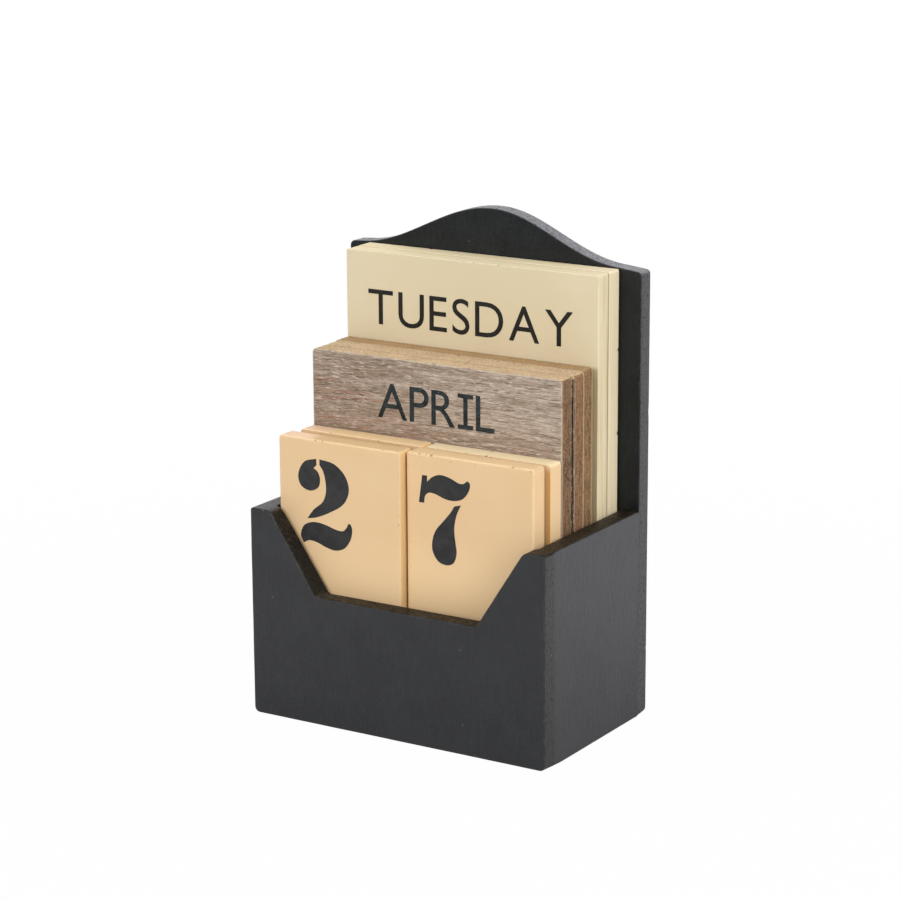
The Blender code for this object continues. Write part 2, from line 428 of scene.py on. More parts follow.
@dataclass(frozen=True)
class CharcoalPaint(Finish):
    """Matt charcoal paint, brushed on fibreboard: fine fibres, dust in the coat, worn edges."""

    slot: str = "charcoal_paint"
    coat: Colour = paint_code(24, 25, 27)
    thin_coat: Colour = paint_code(40, 41, 44)
    cut_coat_and_sheen: Colour = paint_code(32, 32, 34)
    top_coat_and_painted_light: Colour = paint_code(19, 17, 14)
    top_mottle_and_reflection: Colour = paint_code(92, 76, 46)
    left_top_sky_reflection: Colour = paint_code(46, 47, 53)
    rubbed_and_lit: Colour = paint_code(66, 64, 62)
    bare_board: Colour = paint_code(74, 58, 42)
    pit: Colour = paint_code(10, 9, 8)
    dust: Colour = paint_code(120, 124, 128)
    top_share: float = 0.55
    dull_top: float = 0.85
    painted_x: Point = (-20.0 * MM, -30.0 * MM)
    gloss: float = 0.5

    def look(self, surface: Surface, shift: float) -> Mapping[str, Input]:
        """See Finish.look."""
        broad = surface.in_mm(shift)
        upright = surface.place((2400, 2400, 160), shift)
        cloud = surface.clouds(broad, 0.09, 4.0, 0.6).fade(0.3, 0.7)
        fibre = surface.clouds(upright, 1.0, 4.0, 0.65).fade(0.35, 0.65)
        grit = surface.clouds(broad, 1.9, 3.0, 0.7).fade(0.35, 0.65)
        edge = surface.layer(EDGE_LAYER)
        rim = surface.layer(RIM_LAYER)
        rub = edge.fade(0.4, 0.0) * surface.clouds(broad, 0.45, 3.0).fade(0.45, 0.65)
        chip = edge.fade(0.3, 0.05) * surface.clouds(broad, 0.8, 2.0, 0.5).fade(0.67, 0.7)
        pore = rim * surface.clouds(broad, 1.2, 3.0, 0.6).fade(0.54, 0.66)
        motes = surface.clouds(broad, 0.9, 0.0).fade(0.875, 0.9)
        on_top = surface.facing("Z").fade(0.4, 0.7) * rim
        browner = surface.clouds(broad, 0.09, 2.0).fade_from(0.3, 0.4, 0.6)
        mottle = surface.clouds(broad, 1.5, 4.0, 0.75).fade(0.5, 0.6) * browner
        colour = surface.coats(
            self.coat,
            (cloud * 0.35 + fibre * 0.35 + grit * 0.3, self.thin_coat),
            # Cut edges take their own coat, which on the back panel is painted sheen.
            (rim * (0.5 + grit * 0.5), self.cut_coat_and_sheen),
            # The cut tops take their own coat, which on the back panel is painted sheen.
            (surface.facing("Z").fade(0.25, 0.5) * rim, self.top_coat_and_painted_light),
            # Brown mottle on the cut tops: bare board with a painted reflection of the tiles; on the back
            # panel the pale tone is painted sheen.
            (on_top * mottle * self.top_share, self.top_mottle_and_reflection),
            # Painted sky reflection: a pale bluish grey on the glossy level tops at the left.
            (self.painted_top(surface) * (0.6 + fibre * 0.4), self.left_top_sky_reflection),
            (rub * 0.3, self.rubbed_and_lit),
            (chip * 0.6, self.bare_board),
            (pore * 0.7, self.pit),
            (motes * 0.4, self.dust),
        )
        height = fibre * 0.45 + grit * 0.55 + rim * grit * 0.5 - pore * 0.9
        coarse = surface.relief(surface.clouds(broad, 0.55, 1.0), 0.07 * MM)
        return {
            "Base Color": colour,
            "Roughness": 0.34 + grit * 0.06 + pore * 0.2,
            "Specular IOR Level": self.gloss,
            "Normal": surface.relief(height, 0.045 * MM, coarse),
        }

    def painted_top(self, surface: Surface) -> Value:
        """Mask of the level tops at the left, where the paint is whole."""
        level = surface.facing("Z").fade(0.75, 0.95) * surface.layer(RIM_LAYER)
        return surface.along("X").fade(*self.painted_x) * level * self.dull_top

    def dull_share(self, surface: Surface) -> Union[Value, None]:
        """See Finish.dull_share."""
        if self.dull_top == 0:
            return None
        rim = surface.layer(RIM_LAYER)
        cut = surface.facing("Z").fade(0.25, 0.5) * rim.fade(0.02, 0.35) * self.dull_top
        return cut * (1 - self.painted_top(surface))


@dataclass(frozen=True)
class CreamPaint(Finish):
    """Matt cream on the faces, with the cut edges showing faint upright streaks."""

    slot: str = "cream_board"
    coat: Colour = paint_code(220, 205, 172)
    shade: Colour = paint_code(212, 196, 160)
    streak: Colour = paint_code(192, 172, 130)
    rubbed_and_lit: Colour = paint_code(234, 221, 190)
    gap_shade_and_dent: Colour = paint_code(122, 104, 70)
    month_shadow: Colour = paint_code(150, 132, 88)
    lit_side_coat: Colour = paint_code(240, 226, 194)
    top_coat_and_painted_light: Colour = paint_code(201, 188, 157)
    lit_side_share: float = 0.0
    month_shadow_share: float = 0.0
    top_x: Point = (-45.0 * MM, -5.0 * MM)
    month_shadow_x: Point = (40.5 * MM, 42.0 * MM)
    month_shadow_z: Point = (108.5 * MM, 106.5 * MM)
    side_gap_shade_mm: Point = (5.45, 5.75)
    top_gap_shade_mm: Point = (5.4, 5.8)

    def look(self, surface: Surface, shift: float) -> Mapping[str, Input]:
        """See Finish.look."""
        broad = surface.in_mm(shift)
        upright = surface.place((1700, 1700, 45), shift)
        along = surface.place((45, 1700, 1700), shift)
        cloud = surface.clouds(broad, 0.04, 3.0).fade(0.3, 0.7)
        lines = surface.clouds(upright, 1.0, 3.0, 0.6).fade(0.42, 0.7)
        top_lines = surface.clouds(along, 1.0, 3.0, 0.6).fade(0.42, 0.7)
        on_top = surface.on_top()
        streaks = surface.layer(RIM_LAYER) * (lines * (1 - on_top) + top_lines * on_top)
        grit = surface.clouds(broad, 3.0, 3.0, 0.6)
        patch = surface.clouds(broad, 0.5, 3.0).fade(0.35, 0.6)
        soft_edge = surface.layer(EDGE_LAYER).fade(0.45, 0.0) * patch
        pits = surface.clouds(broad, 1.3, 1.0).fade(0.79, 0.82)
        across = surface.along("X")
        cut_top = surface.facing("Z").fade(0.15, 0.45) * across.fade_from(0.65, *self.top_x)
        on_side = surface.on_side()
        from_front = surface.layer(FRONT_LAYER)
        # Painted shadow of the month plates on the front face, low at its right beside them.
        corner = across.fade(*self.month_shadow_x) * surface.along("Z").fade(*self.month_shadow_z)
        colour = surface.coats(
            self.coat,
            (cloud * 0.5, self.shade),
            # Painted shade: the tops take a darker coat, less so towards the left.
            (cut_top, self.top_coat_and_painted_light),
            (streaks * 0.7, self.streak),
            (soft_edge * 0.1, self.rubbed_and_lit),
            (pits * 0.6, self.streak),
            # Painted light: a lighter coat on the sides of the rear plate, which stands in the box's shade.
            (on_side * self.lit_side_share, self.lit_side_coat),
            # Painted shade of the gap behind each plate, along the back edge of its sides and top; dents take
            # the same dark colour.
            (from_front.fade(*self.side_gap_shade_mm) * on_side, self.gap_shade_and_dent),
            (from_front.fade(*self.top_gap_shade_mm) * cut_top * 0.6, self.gap_shade_and_dent),
            (corner * surface.on_front() * self.month_shadow_share, self.month_shadow),
            (surface.layer(DENT_LAYER) * 0.6, self.gap_shade_and_dent),
        )
        height = grit * 0.5 + streaks * 0.5 - pits * 0.5
        return {
            "Base Color": colour,
            "Roughness": 0.52 + cloud * 0.06,
            "Specular IOR Level": 0.4,
            "Normal": surface.relief(height, 0.02 * MM),
        }


@dataclass(frozen=True)
class PeachPaint(Finish):
    """Smooth matt peach paint over all sides of a tile."""

    slot: str = "peach_board"
    coat: Colour = paint_code(228, 195, 151)
    shade: Colour = paint_code(223, 187, 140)
    light: Colour = paint_code(236, 207, 165)
    top_coat_and_painted_light: Colour = paint_code(200, 170, 129)
    end_coat: Colour = paint_code(212, 180, 148)
    tile_gap_shade: Colour = paint_code(204, 150, 66)
    pit: Colour = paint_code(132, 98, 56)
    tile_inner_shade: Colour = paint_code(209, 173, 120)
    lit_low_coat: Colour = paint_code(236, 202, 155)
    tile_gap_shade_share: float = 0.0
    tile_gap_shade_z: Point = (84.0 * MM, 82.0 * MM)
    end_x: Point = (-30.0 * MM, -35.0 * MM)
    lit_low_z: Point = (64.0 * MM, 48.0 * MM)
    shaded_inner_side: float = 0.0
    end_share: float = 0.0
    lit_low_share: float = 0.0

    def look(self, surface: Surface, shift: float) -> Mapping[str, Input]:
        """See Finish.look."""
        broad = surface.in_mm(shift)
        brushed = surface.place((900, 900, 60), shift)
        cloud = surface.clouds(broad, 0.06, 3.0).fade(0.3, 0.7)
        strokes = surface.clouds(brushed, 1.0, 3.0, 0.6)
        grit = surface.clouds(broad, 2.6, 3.0, 0.6)
        edge = surface.layer(EDGE_LAYER)
        rim = surface.layer(RIM_LAYER)
        above = surface.along("Z")
        on_front = surface.on_front()
        at_end = surface.along("X").fade(*self.end_x) * self.end_share
        top_coat_and_painted_light = surface.tint(at_end, self.top_coat_and_painted_light, self.end_coat)
        # Painted shade of the gap between the tiles: the rear tiles' fronts turn dark orange near their
        # edges.
        tile_gap_shade = edge.fade(2.0, 0.6) * on_front * above.fade(*self.tile_gap_shade_z) * self.tile_gap_shade_share
        # Painted shade on the left tiles' right sides, which face the narrow gap to the right tiles.
        inner = (surface.facing("X") * self.shaded_inner_side).fade(0.15, 0.6) * rim
        soft_edge = edge.fade(0.5, 0.0) * surface.clouds(broad, 0.35, 3.0).fade(0.3, 0.6)
        pits = edge.fade(1.4, 0.1) * surface.clouds(broad, 1.1, 1.0).fade(0.7, 0.76)
        colour = surface.coats(
            self.coat,
            (cloud * 0.45 + strokes * 0.2, self.shade),
            # The tops take their own coat: painted shade on most tiles, and the paler paint on the right rear
            # tile.
            (surface.facing("Z").fade(0.12, 0.5) * rim, top_coat_and_painted_light),
            # Painted light: the lower front face is lightened against the shade of the box's front wall.
            (above.fade(*self.lit_low_z) * on_front * self.lit_low_share, self.lit_low_coat),
            (soft_edge * 0.25, self.light),
            (tile_gap_shade, self.tile_gap_shade),
            (inner * 0.85, self.tile_inner_shade),
            (pits * 0.5, self.pit),
            (surface.layer(DENT_LAYER) * 0.9, self.pit),
        )
        height = grit * 0.5 + strokes * 0.3 - pits
        return {
            "Base Color": colour,
            "Roughness": 0.5 + cloud * 0.06,
            "Specular IOR Level": 0.4,
            "Normal": surface.relief(height, 0.02 * MM),
        }


@dataclass(frozen=True)
class WalnutVeneer(Finish):
    """Greyed walnut veneer with level grain on both faces of a browner core."""

    slot: str = "walnut_board"
    pale: Colour = paint_code(196, 181, 166)
    ground: Colour = paint_code(164, 147, 131)
    dark: Colour = paint_code(118, 98, 80)
    light_fleck: Colour = paint_code(222, 208, 192)
    red: Colour = paint_code(150, 108, 86)
    shade: Colour = paint_code(128, 106, 86)
    pore_fill: Colour = paint_code(66, 52, 42)
    skin: Colour = paint_code(176, 148, 120)
    rubbed_and_lit: Colour = paint_code(212, 186, 150)
    end_core: Colour = paint_code(188, 164, 132)
    end_core_dark: Colour = paint_code(150, 126, 96)
    side_core: Colour = paint_code(150, 117, 86)
    side_core_dark: Colour = paint_code(74, 50, 34)
    side_core_red: Colour = paint_code(144, 98, 70)
    # Near-black painted shade of the gaps between plates.
    gap: Colour = paint_code(24, 15, 10)
    skin_mm: float = 0.7
    thickness_mm: float = 6.0
    grain_bend: float = 6.0 * MM
    flank_x: Point = (20.0 * MM, -36.0 * MM)
    flank_z: Point = (90.0 * MM, 82.0 * MM)
    torn_gap_shade_front: float = 0.0
    torn_gap_shade_back: float = 0.0
    gap_shade_and_light_share: float = 0.0
    top: float = 107.8 * MM
    half_width: float = 42.3 * MM

    def look(self, surface: Surface, shift: float) -> Mapping[str, Input]:
        """See Finish.look."""
        rim = surface.layer(RIM_LAYER)
        from_front = surface.layer(FRONT_LAYER)
        broad = surface.in_mm(shift)
        face, height = self.grain(surface, shift)
        depth = from_front.at_most(self.thickness_mm - from_front)
        ragged = depth + surface.clouds(broad, 0.6, 2.0) * 0.12
        on_end = surface.on_top() * (self.skin_mm - 0.1)
        in_core = rim.fade(0.1, 0.5) * (ragged + on_end).fade(self.skin_mm, self.skin_mm + 0.15)
        flecks = surface.clouds(broad, 1.3, 3.0, 0.7).fade(0.42, 0.62)
        skin = surface.tint(flecks * 0.5, self.skin, self.side_core)
        colour = surface.coats(
            face,
            (surface.layer(EDGE_LAYER).fade(0.2, 0.0) * 0.35, self.light_fleck),
            (rim.fade(0.3, 0.8), skin),
            (in_core, self.core(surface, shift, flecks)),
            # Torn veneer along the gaps between plates, in near-black painted shade.
            (self.torn_gap_shade(surface, shift) * 0.95, self.gap),
            # Painted shade and light on the middle plate's front face, where it shows in the gaps.
            *self.gap_shade_and_light(surface),
            (surface.layer(DENT_LAYER) * 0.5, self.pore_fill),
        )
        return {
            "Base Color": colour,
            "Roughness": 0.6 + flecks * 0.1,
            "Specular IOR Level": 0.12,
            "Normal": surface.relief(height + in_core * flecks * 0.6, 0.04 * MM),
        }

    def torn_gap_shade(self, surface: Surface, shift: float) -> Value:
        """Mask of the upright edges with torn veneer, coloured near black as painted shade of the gap between
        plates.

        Args:
            surface: Surface to add nodes to.
            shift: Offset of the pattern.

        Returns:
            The mask.
        """
        from_front = surface.layer(FRONT_LAYER)
        back_skin = from_front.fade(self.thickness_mm - 0.75, self.thickness_mm - 0.45)
        skins = back_skin * self.torn_gap_shade_back + from_front.fade(0.5, 0.25) * self.torn_gap_shade_front
        torn = surface.clouds(surface.place((500, 500, 1100), shift), 1.0, 3.0, 0.7).fade(0.38, 0.48)
        upright = 1 - abs(surface.facing("Z")).fade(0.3, 0.6)
        return skins * torn * upright * surface.layer(RIM_LAYER).fade(0.05, 0.3)

    def gap_shade_and_light(self, surface: Surface) -> list[tuple[Value, Colour]]:
        """Coats of a front face: painted shade near its sides, seen down the gap to the plate in front, and a
        painted light band along its top.

        Args:
            surface: Surface to add nodes to.

        Returns:
            Mask and colour of each coat, or nothing where the face has no painted shade and light.
        """
        if self.gap_shade_and_light_share == 0:
            return []
        front = surface.facing("Y").fade(-0.2, -0.6) * self.gap_shade_and_light_share
        near_side = abs(surface.along("X")).fade(self.half_width - 5 * MM, self.half_width - 4 * MM)
        gap_side_shade = surface.layer(EDGE_LAYER).fade(0.1, 0.25) * near_side
        rubbed_and_lit = surface.along("Z").fade(self.top - 1.5 * MM, self.top - 0.9 * MM)
        return [(gap_side_shade * front * 0.9, self.gap), (rubbed_and_lit * front, self.rubbed_and_lit)]

    def grain(self, surface: Surface, shift: float) -> tuple[Value, Value]:
        """Colour and height of the veneer's level grain.

        Args:
            surface: Surface to add nodes to.
            shift: Offset of the pattern.

        Returns:
            The colour and the height.
        """
        bend = self.grain_bend
        drift = surface.clouds(surface.place((16, 100, 50), shift), 1.0, 2.0, 0.6).fade(0.4, 0.6)
        bands = surface.clouds(surface.bent_place((40, 400, 700), shift, bend), 1.0, 4.0, 0.75)
        hair = surface.clouds(surface.bent_place((200, 900, 2900), shift, bend), 1.0, 4.0, 0.8, 0.3)
        pores = surface.clouds(surface.bent_place((260, 900, 2500), shift, bend), 1.0, 3.0, 0.65)
        flecks = surface.clouds(surface.bent_place((320, 900, 3200), -shift, bend), 1.0, 2.0, 0.6)
        warm = surface.clouds(surface.bent_place((30, 200, 700), shift, bend), 1.0, 4.0, 0.7, 0.6)
        hair_mask = hair.fade(0.44, 0.58)
        pore_mask = pores.fade(0.56, 0.64)
        left_flank = surface.along("X").fade(*self.flank_x)
        flank = left_flank * 0.35 + surface.along("Z").fade(*self.flank_z) * 0.3
        face = surface.coats(
            self.pale,
            (bands.fade(0.4, 0.6), self.ground),
            (flank + drift * 0.2, self.shade),
            (hair_mask * 0.6, self.dark),
            (warm.fade(0.54, 0.62) * (flank * 1.4 + 0.1), self.red),
            (flecks.fade(0.56, 0.66) * 0.6, self.light_fleck),
            (pore_mask * 0.55, self.pore_fill),
        )
        return face, hair_mask * 0.3 - pore_mask * 0.5

    def core(self, surface: Surface, shift: float, flecks: Value) -> Value:
        """Colour of the sawn core on the edges of the board.

        Args:
            surface: Surface to add nodes to.
            shift: Offset of the pattern.
            flecks: Mask of fine flecks.

        Returns:
            The colour.
        """
        broad = surface.in_mm(shift)
        sawn = surface.clouds(surface.place((1500, 1500, 220), shift), 1.0, 4.0, 0.7).fade(0.4, 0.62)
        blotches = surface.clouds(broad, 0.14, 3.0, 0.6).fade(0.4, 0.65)
        end_core = surface.tint(flecks * 0.7 + blotches * 0.3, self.end_core, self.end_core_dark)
        side_core = surface.tint(sawn * 0.5 + flecks * 0.5, self.side_core, self.side_core_dark)
        side_core = surface.tint(blotches * 0.4, side_core, self.side_core_red)
        return surface.tint(surface.on_side(), end_core, side_core)


@dataclass(frozen=True)
class PrintingInk(Finish):
    """Flat charcoal ink with a slightly uneven film."""

    slot: str = "printed_ink"
    film: Colour = paint_code(25, 24, 20)
    thin_film: Colour = paint_code(35, 34, 31)
    worn_film: Colour = paint_code(84, 88, 84)
    worn_share: float = 0.0

    def look(self, surface: Surface, shift: float) -> Mapping[str, Input]:
        """See Finish.look."""
        broad = surface.in_mm(shift)
        cloud = surface.clouds(broad, 0.3, 4.0, 0.6).fade(0.35, 0.65)
        grit = surface.clouds(broad, 4.0, 2.0)
        worn = surface.clouds(surface.place((900, 900, 2200), shift), 1.0, 3.0, 0.7).fade(0.55, 0.68)
        film = surface.tint(cloud, self.film, self.thin_film)
        return {
            "Base Color": surface.tint(worn * self.worn_share, film, self.worn_film),
            "Roughness": 0.5 + grit * 0.15,
            "Specular IOR Level": 0.25,
            "Normal": surface.relief(grit, 0.01 * MM),
        }


# Board meshes


class Plane(Enum):
    """How a board lies: which axes run across it, up it and through it."""

    FRONTAL = (0, 2, 1)
    SIDEWAYS = (1, 2, 0)
    LEVEL = (0, 1, 2)


@dataclass(frozen=True)
class Nick:
    """A small dent in an edge; place is across and up the board, through is 0 front, 1 back."""

    place: Point
    through: float
    size: float
    depth: float


@dataclass(frozen=True)
class Glued:
    """Edges that stay sharp and unworn because a wall is glued to them; sides are 0 front, 1 back."""

    sides: tuple[int, ...]
    from_end: float
    up_to: float = math.inf
    radius: float = 0.03 * MM
    at_foot: bool = True


@dataclass(frozen=True)
class Outer:
    """Rounded top edge and foot of one side of a wall, the foot more so near the wall's front end."""

    side: int
    foot_radius: float
    top_radius: float
    plain_radius: float = 0.35 * MM
    fade: float = 4.0 * MM


@dataclass(frozen=True)
class Foot:
    """Lower corners whose radius changes from the front of a wall to its back, as shares of it."""

    radius: float
    shares: tuple[float, float]
    inner_reach: float = 0.7
    outer_reach: float = 0.95


@dataclass(frozen=True)
class Wear:
    """How far a board departs from its drawn shape, always inwards; waves are noise per metre."""

    sway: float
    easing: float
    nicks: tuple[Nick, ...]
    seed: int
    sway_waves: float = 55.0
    easing_waves: float = 90.0
    seed_step: float = 7.3


def fillet(previous: Vector, corner: Vector, following: Vector, radius: float, steps: int) -> list[Point]:
    """Points of the arc that rounds one corner.

    Args:
        previous: Corner before this one.
        corner: Corner to round.
        following: Corner after this one.
        radius: Radius of the arc.
        steps: Number of chords.

    Returns:
        Points from one tangent point to the other.
    """
    backward = (previous - corner).normalized()
    forward = (following - corner).normalized()
    half_angle = backward.angle(forward) / 2
    centre = corner + (backward + forward).normalized() * radius / math.sin(half_angle)
    start = corner + backward * radius / math.tan(half_angle) - centre
    end = corner + forward * radius / math.tan(half_angle) - centre
    turn = start.angle_signed(end)
    return [tuple(centre + Matrix.Rotation(-turn * step / steps, 2) @ start) for step in range(steps + 1)]


def divide(points: Sequence[Point], spacing: float, close_up: Sequence[float] = ()) -> list[Point]:
    """Line with no chord longer than the spacing, and finer where a close-up is wanted.

    Args:
        points: Points of the line.
        spacing: Longest chord.
        close_up: Places along the first axis near which chords are short.

    Returns:
        The finer line.
    """
    reach = 2.4 * MM
    fine = CLOSE_UP_STEP
    made = [points[0]]
    for start, end in zip(points, points[1:]):
        run = math.dist(start, end)
        marks = {0.0, run}
        count = max(1, math.ceil(run / spacing))
        marks.update(run * step / count for step in range(count + 1))
        for target in close_up:
            width = end[0] - start[0]
            if abs(width) > fine:
                middle = (target - start[0]) / width * run
                for step in range(-int(reach / fine), int(reach / fine) + 1):
                    if 0 < middle + step * fine < run:
                        marks.add(middle + step * fine)
        ordered = sorted(marks)
        kept = [ordered[0]]
        for mark in ordered[1:]:
            if mark - kept[-1] > 0.6 * fine:
                kept.append(mark)
        kept[-1] = run
        for mark in kept[1:]:
            share = mark / run
            made.append((start[0] + (end[0] - start[0]) * share, start[1] + (end[1] - start[1]) * share))
    return made


def linked_object(name: str, mesh: bpy.types.Mesh) -> bpy.types.Object:
    """Object in the scene whose faces all point outwards.

    Args:
        name: Name of the object.
        mesh: Its mesh.

    Returns:
        The new object.
    """
    model = bmesh.new()
    model.from_mesh(mesh)
    bmesh.ops.recalc_face_normals(model, faces=model.faces)
    model.to_mesh(mesh)
    model.free()
    piece = bpy.data.objects.new(name, mesh)
    bpy.context.scene.collection.objects.link(piece)
    return piece


@dataclass(frozen=True)
class Slant:
    """Sloped cut that is true at the front face and off square at the back face."""

    start: Point
    end: Point
    run: float
    fade: float = 8.0 * MM

    def shift(self, x: float, z: float) -> float:
        """Sideways shift of a place on the back face.

        Args:
            x: Place across the board.
            z: Height on the board.

        Returns:
            The shift.
        """
        share = min(max((self.start[1] - z) / (self.start[1] - self.end[1]), 0.0), 1.0)
        line = self.start[0] + (self.end[0] - self.start[0]) * share
        beside = max(1 - abs(x - line) / self.fade, 0.0)
        below = max(1 - max(self.end[1] - z, 0.0) / self.fade, 0.0)
        return self.run * math.sqrt(share) * beside * below


@dataclass
class Board:
    """A flat board with eased edges, finely divided and slightly worn.

    Its outline is given as matching points of its lower and upper boundary, from left to right.
    """

    name: str
    low: list[Point]
    high: list[Point]
    thickness: float
    edge_radii: tuple[float, float]
    wear: Wear
    spacing: float
    margin_rows: tuple[float, ...] = (0.25 * MM, 0.6 * MM, 1.1 * MM, 1.8 * MM, 2.8 * MM, 4.0 * MM)
    arc_steps: int = 4
    strip_steps: int = 4
    row_close_up: tuple[float, ...] = ()
    glued: Union[Glued, None] = None
    outer: Union[Outer, None] = None
    foot: Union[Foot, None] = None
    slant: Union[Slant, None] = None

    def rows(self) -> list[float]:
        """Rows of points, closer near the two ends and near dents.

        Returns:
            Heights of the rows on the longest column, from its lower end.
        """
        length = max(math.dist(a, b) for a, b in zip(self.low, self.high))
        margin = self.margin_rows[-1]
        marks = {0.0, length, *self.margin_rows, *(length - row for row in self.margin_rows)}
        count = math.ceil((length - 2 * margin) / self.spacing)
        marks.update(margin + (length - 2 * margin) * step / count for step in range(count + 1))
        base = self.low[0][1]
        for target in self.row_close_up:
            for step in range(-CLOSE_UP_ROWS, CLOSE_UP_ROWS + 1):
                mark = target - base + step * CLOSE_UP_STEP
                if margin < mark < length - margin:
                    marks.add(mark)
        ordered = sorted(marks)
        kept = [ordered[0]]
        for mark in ordered[1:]:
            if mark - kept[-1] > 0.1 * MM:
                kept.append(mark)
        kept[-1] = length
        return kept

    def grid(self) -> np.ndarray:
        """Face before its edges are eased.

        Returns:
            Points by column and row.
        """
        rows = np.array(self.rows())
        longest = rows[-1]
        margin = self.margin_rows[-1]
        low = np.array(self.low)
        high = np.array(self.high)
        lengths = np.linalg.norm(high - low, axis=1)
        made = np.zeros((len(low), len(rows), 2))
        for column, length in enumerate(lengths):
            knots = (0.0, margin, longest - margin, longest)
            fitted = np.interp(rows, knots, (0.0, margin, length - margin, length))
            share = (fitted / length)[:, None]
            made[column] = low[column] * (1 - share) + high[column] * share
        return made

    @staticmethod
    def ring_places(columns: int, rows: int) -> list[tuple[int, int]]:
        """Boundary of the grid, counter-clockwise from the lower left.

        Args:
            columns: Number of columns.
            rows: Number of rows.

        Returns:
            Column and row of each boundary point.
        """
        lower = [(column, 0) for column in range(columns)]
        right = [(columns - 1, row) for row in range(1, rows - 1)]
        upper = [(column, rows - 1) for column in range(columns - 1, -1, -1)]
        left = [(0, row) for row in range(rows - 2, 0, -1)]
        return lower + right + upper + left

    def make(self, plane: Plane, corner: Vector) -> bpy.types.Object:
        """Build the board.

        Args:
            plane: How the board lies.
            corner: Offset of the board's own zero in the row frame.

        Returns:
            The new object.
        """
        face = self.grid()
        columns, rows = face.shape[:2]
        places = self.ring_places(columns, rows)
        ring = np.array([face[place] for place in places])
        tangent = np.roll(ring, -1, axis=0) - np.roll(ring, 1, axis=0)
        tangent /= np.linalg.norm(tangent, axis=1)[:, None]
        inward = np.stack([-tangent[:, 1], tangent[:, 0]], axis=1)
        radii = [np.array([self.local_radius(point, side) for point in ring]) for side in (0, 1)]
        sides = []
        for radius in radii:
            side = face.copy()
            for place, point in zip(places, ring + inward * radius[:, None]):
                side[place] = point
            self.relax_inside(side)
            sides.append(side)
        vertices, normals, rims, index, levels = self.shell(sides, places, ring, inward, radii)
        layers = {
            EDGE_LAYER: self.edge_distance(vertices, ring, rims),
            RIM_LAYER: rims,
            FRONT_LAYER: vertices[:, 2] / MM,
        }
        if self.outer is not None:
            self.round_outer_edges(vertices)
        if self.foot is not None:
            self.shape_foot(vertices)
        if self.slant is not None:
            for vertex in vertices:
                vertex[0] += self.slant.shift(vertex[0], vertex[1]) * vertex[2] / self.thickness
        vertices, layers[DENT_LAYER] = self.nicked(vertices)
        order = list(plane.value)
        moved = np.zeros_like(vertices)
        moved[:, order] = vertices
        moved += np.array(corner)
        outward = np.zeros_like(normals)
        outward[:, order] = normals
        self.sway(moved, outward)
        return self.to_object(moved, self.faces(columns, rows, index, levels), layers)

    def round_outer_edges(self, vertices: np.ndarray) -> None:
        """Pull what stands out of the rounded outer edges in onto them.

        Args:
            vertices: All vertices, changed in place.
        """
        outer = self.outer
        half = self.high[-1][0]
        top = max(point[1] for point in self.high)
        for vertex in vertices:
            depth = self.thickness - vertex[2] if outer.side else vertex[2]
            near_front = min(max(1 - (half + vertex[0]) / outer.fade, 0.0), 1.0)
            foot_radius = outer.plain_radius + (outer.foot_radius - outer.plain_radius) * near_front
            for radius, from_end in ((foot_radius, vertex[1]), (outer.top_radius, top - vertex[1])):
                inset = Vector((radius - depth, radius - from_end))
                if min(inset) <= 0 or inset.length <= radius:
                    continue
                inset *= radius / inset.length
                new_depth = radius - inset.x
                new_end = radius - inset.y
                vertex[2] = self.thickness - new_depth if outer.side else new_depth
                vertex[1] = new_end if from_end == vertex[1] else top - new_end
                break

    def shape_foot(self, vertices: np.ndarray) -> None:
        """Give the lower corners their radius at each depth.

        Args:
            vertices: All vertices, changed in place.
        """
        radius = self.foot.radius
        half = self.high[-1][0]
        at_front, at_back = self.foot.shares
        inner = self.foot.inner_reach
        for vertex in vertices:
            from_side = half - abs(vertex[0])
            if from_side >= radius or vertex[1] >= radius:
                continue
            reach = math.hypot(radius - from_side, radius - vertex[1]) / radius
            weight = min(max((reach - inner) / (self.foot.outer_reach - inner), 0.0), 1.0)
            share = at_front + (at_back - at_front) * vertex[2] / self.thickness
            scale = 1 + (share - 1) * weight
            vertex[0] = math.copysign(half - from_side * scale, vertex[0])
            vertex[1] *= scale

    def is_glued(self, point: np.ndarray, side: int) -> bool:
        """Whether an edge is hidden in a glued joint.

        Args:
            point: Place on the boundary.
            side: 0 for the front edge, 1 for the back edge.

        Returns:
            True where it is.
        """
        glued = self.glued
        if glued is None or side not in glued.sides:
            return False
        at_end = self.high[-1][0] - abs(point[0]) < glued.from_end and point[1] <= glued.up_to
        return at_end or (glued.at_foot and point[1] < 0.1 * MM)

    def local_radius(self, point: np.ndarray, side: int) -> float:
        """Edge radius at one place of the boundary, which wanders a little as hand sanding does.

        Args:
            point: Place on the boundary.
            side: 0 for the front edge, 1 for the back edge.

        Returns:
            The radius.
        """
        if self.is_glued(point, side):
            return self.glued.radius
        wear = self.wear
        start = wear.seed * wear.seed_step
        where = Vector((point[0] * wear.easing_waves + start, point[1] * wear.easing_waves, wear.seed))
        return self.edge_radii[side] * (1 - wear.easing * (0.5 + 0.5 * noise.noise(where)))

    @staticmethod
    def relax_inside(face: np.ndarray) -> None:
        """Spread the inner points of each column between its two eased ends.

        Args:
            face: Points of the face by column and row, changed in place.
        """
        for column in range(1, face.shape[0] - 1):
            line = face[column]
            steps = np.linalg.norm(np.diff(line, axis=0), axis=1)
            share = (np.concatenate([[0], np.cumsum(steps)]) / steps.sum())[:, None]
            face[column] = line[0] * (1 - share) + line[-1] * share

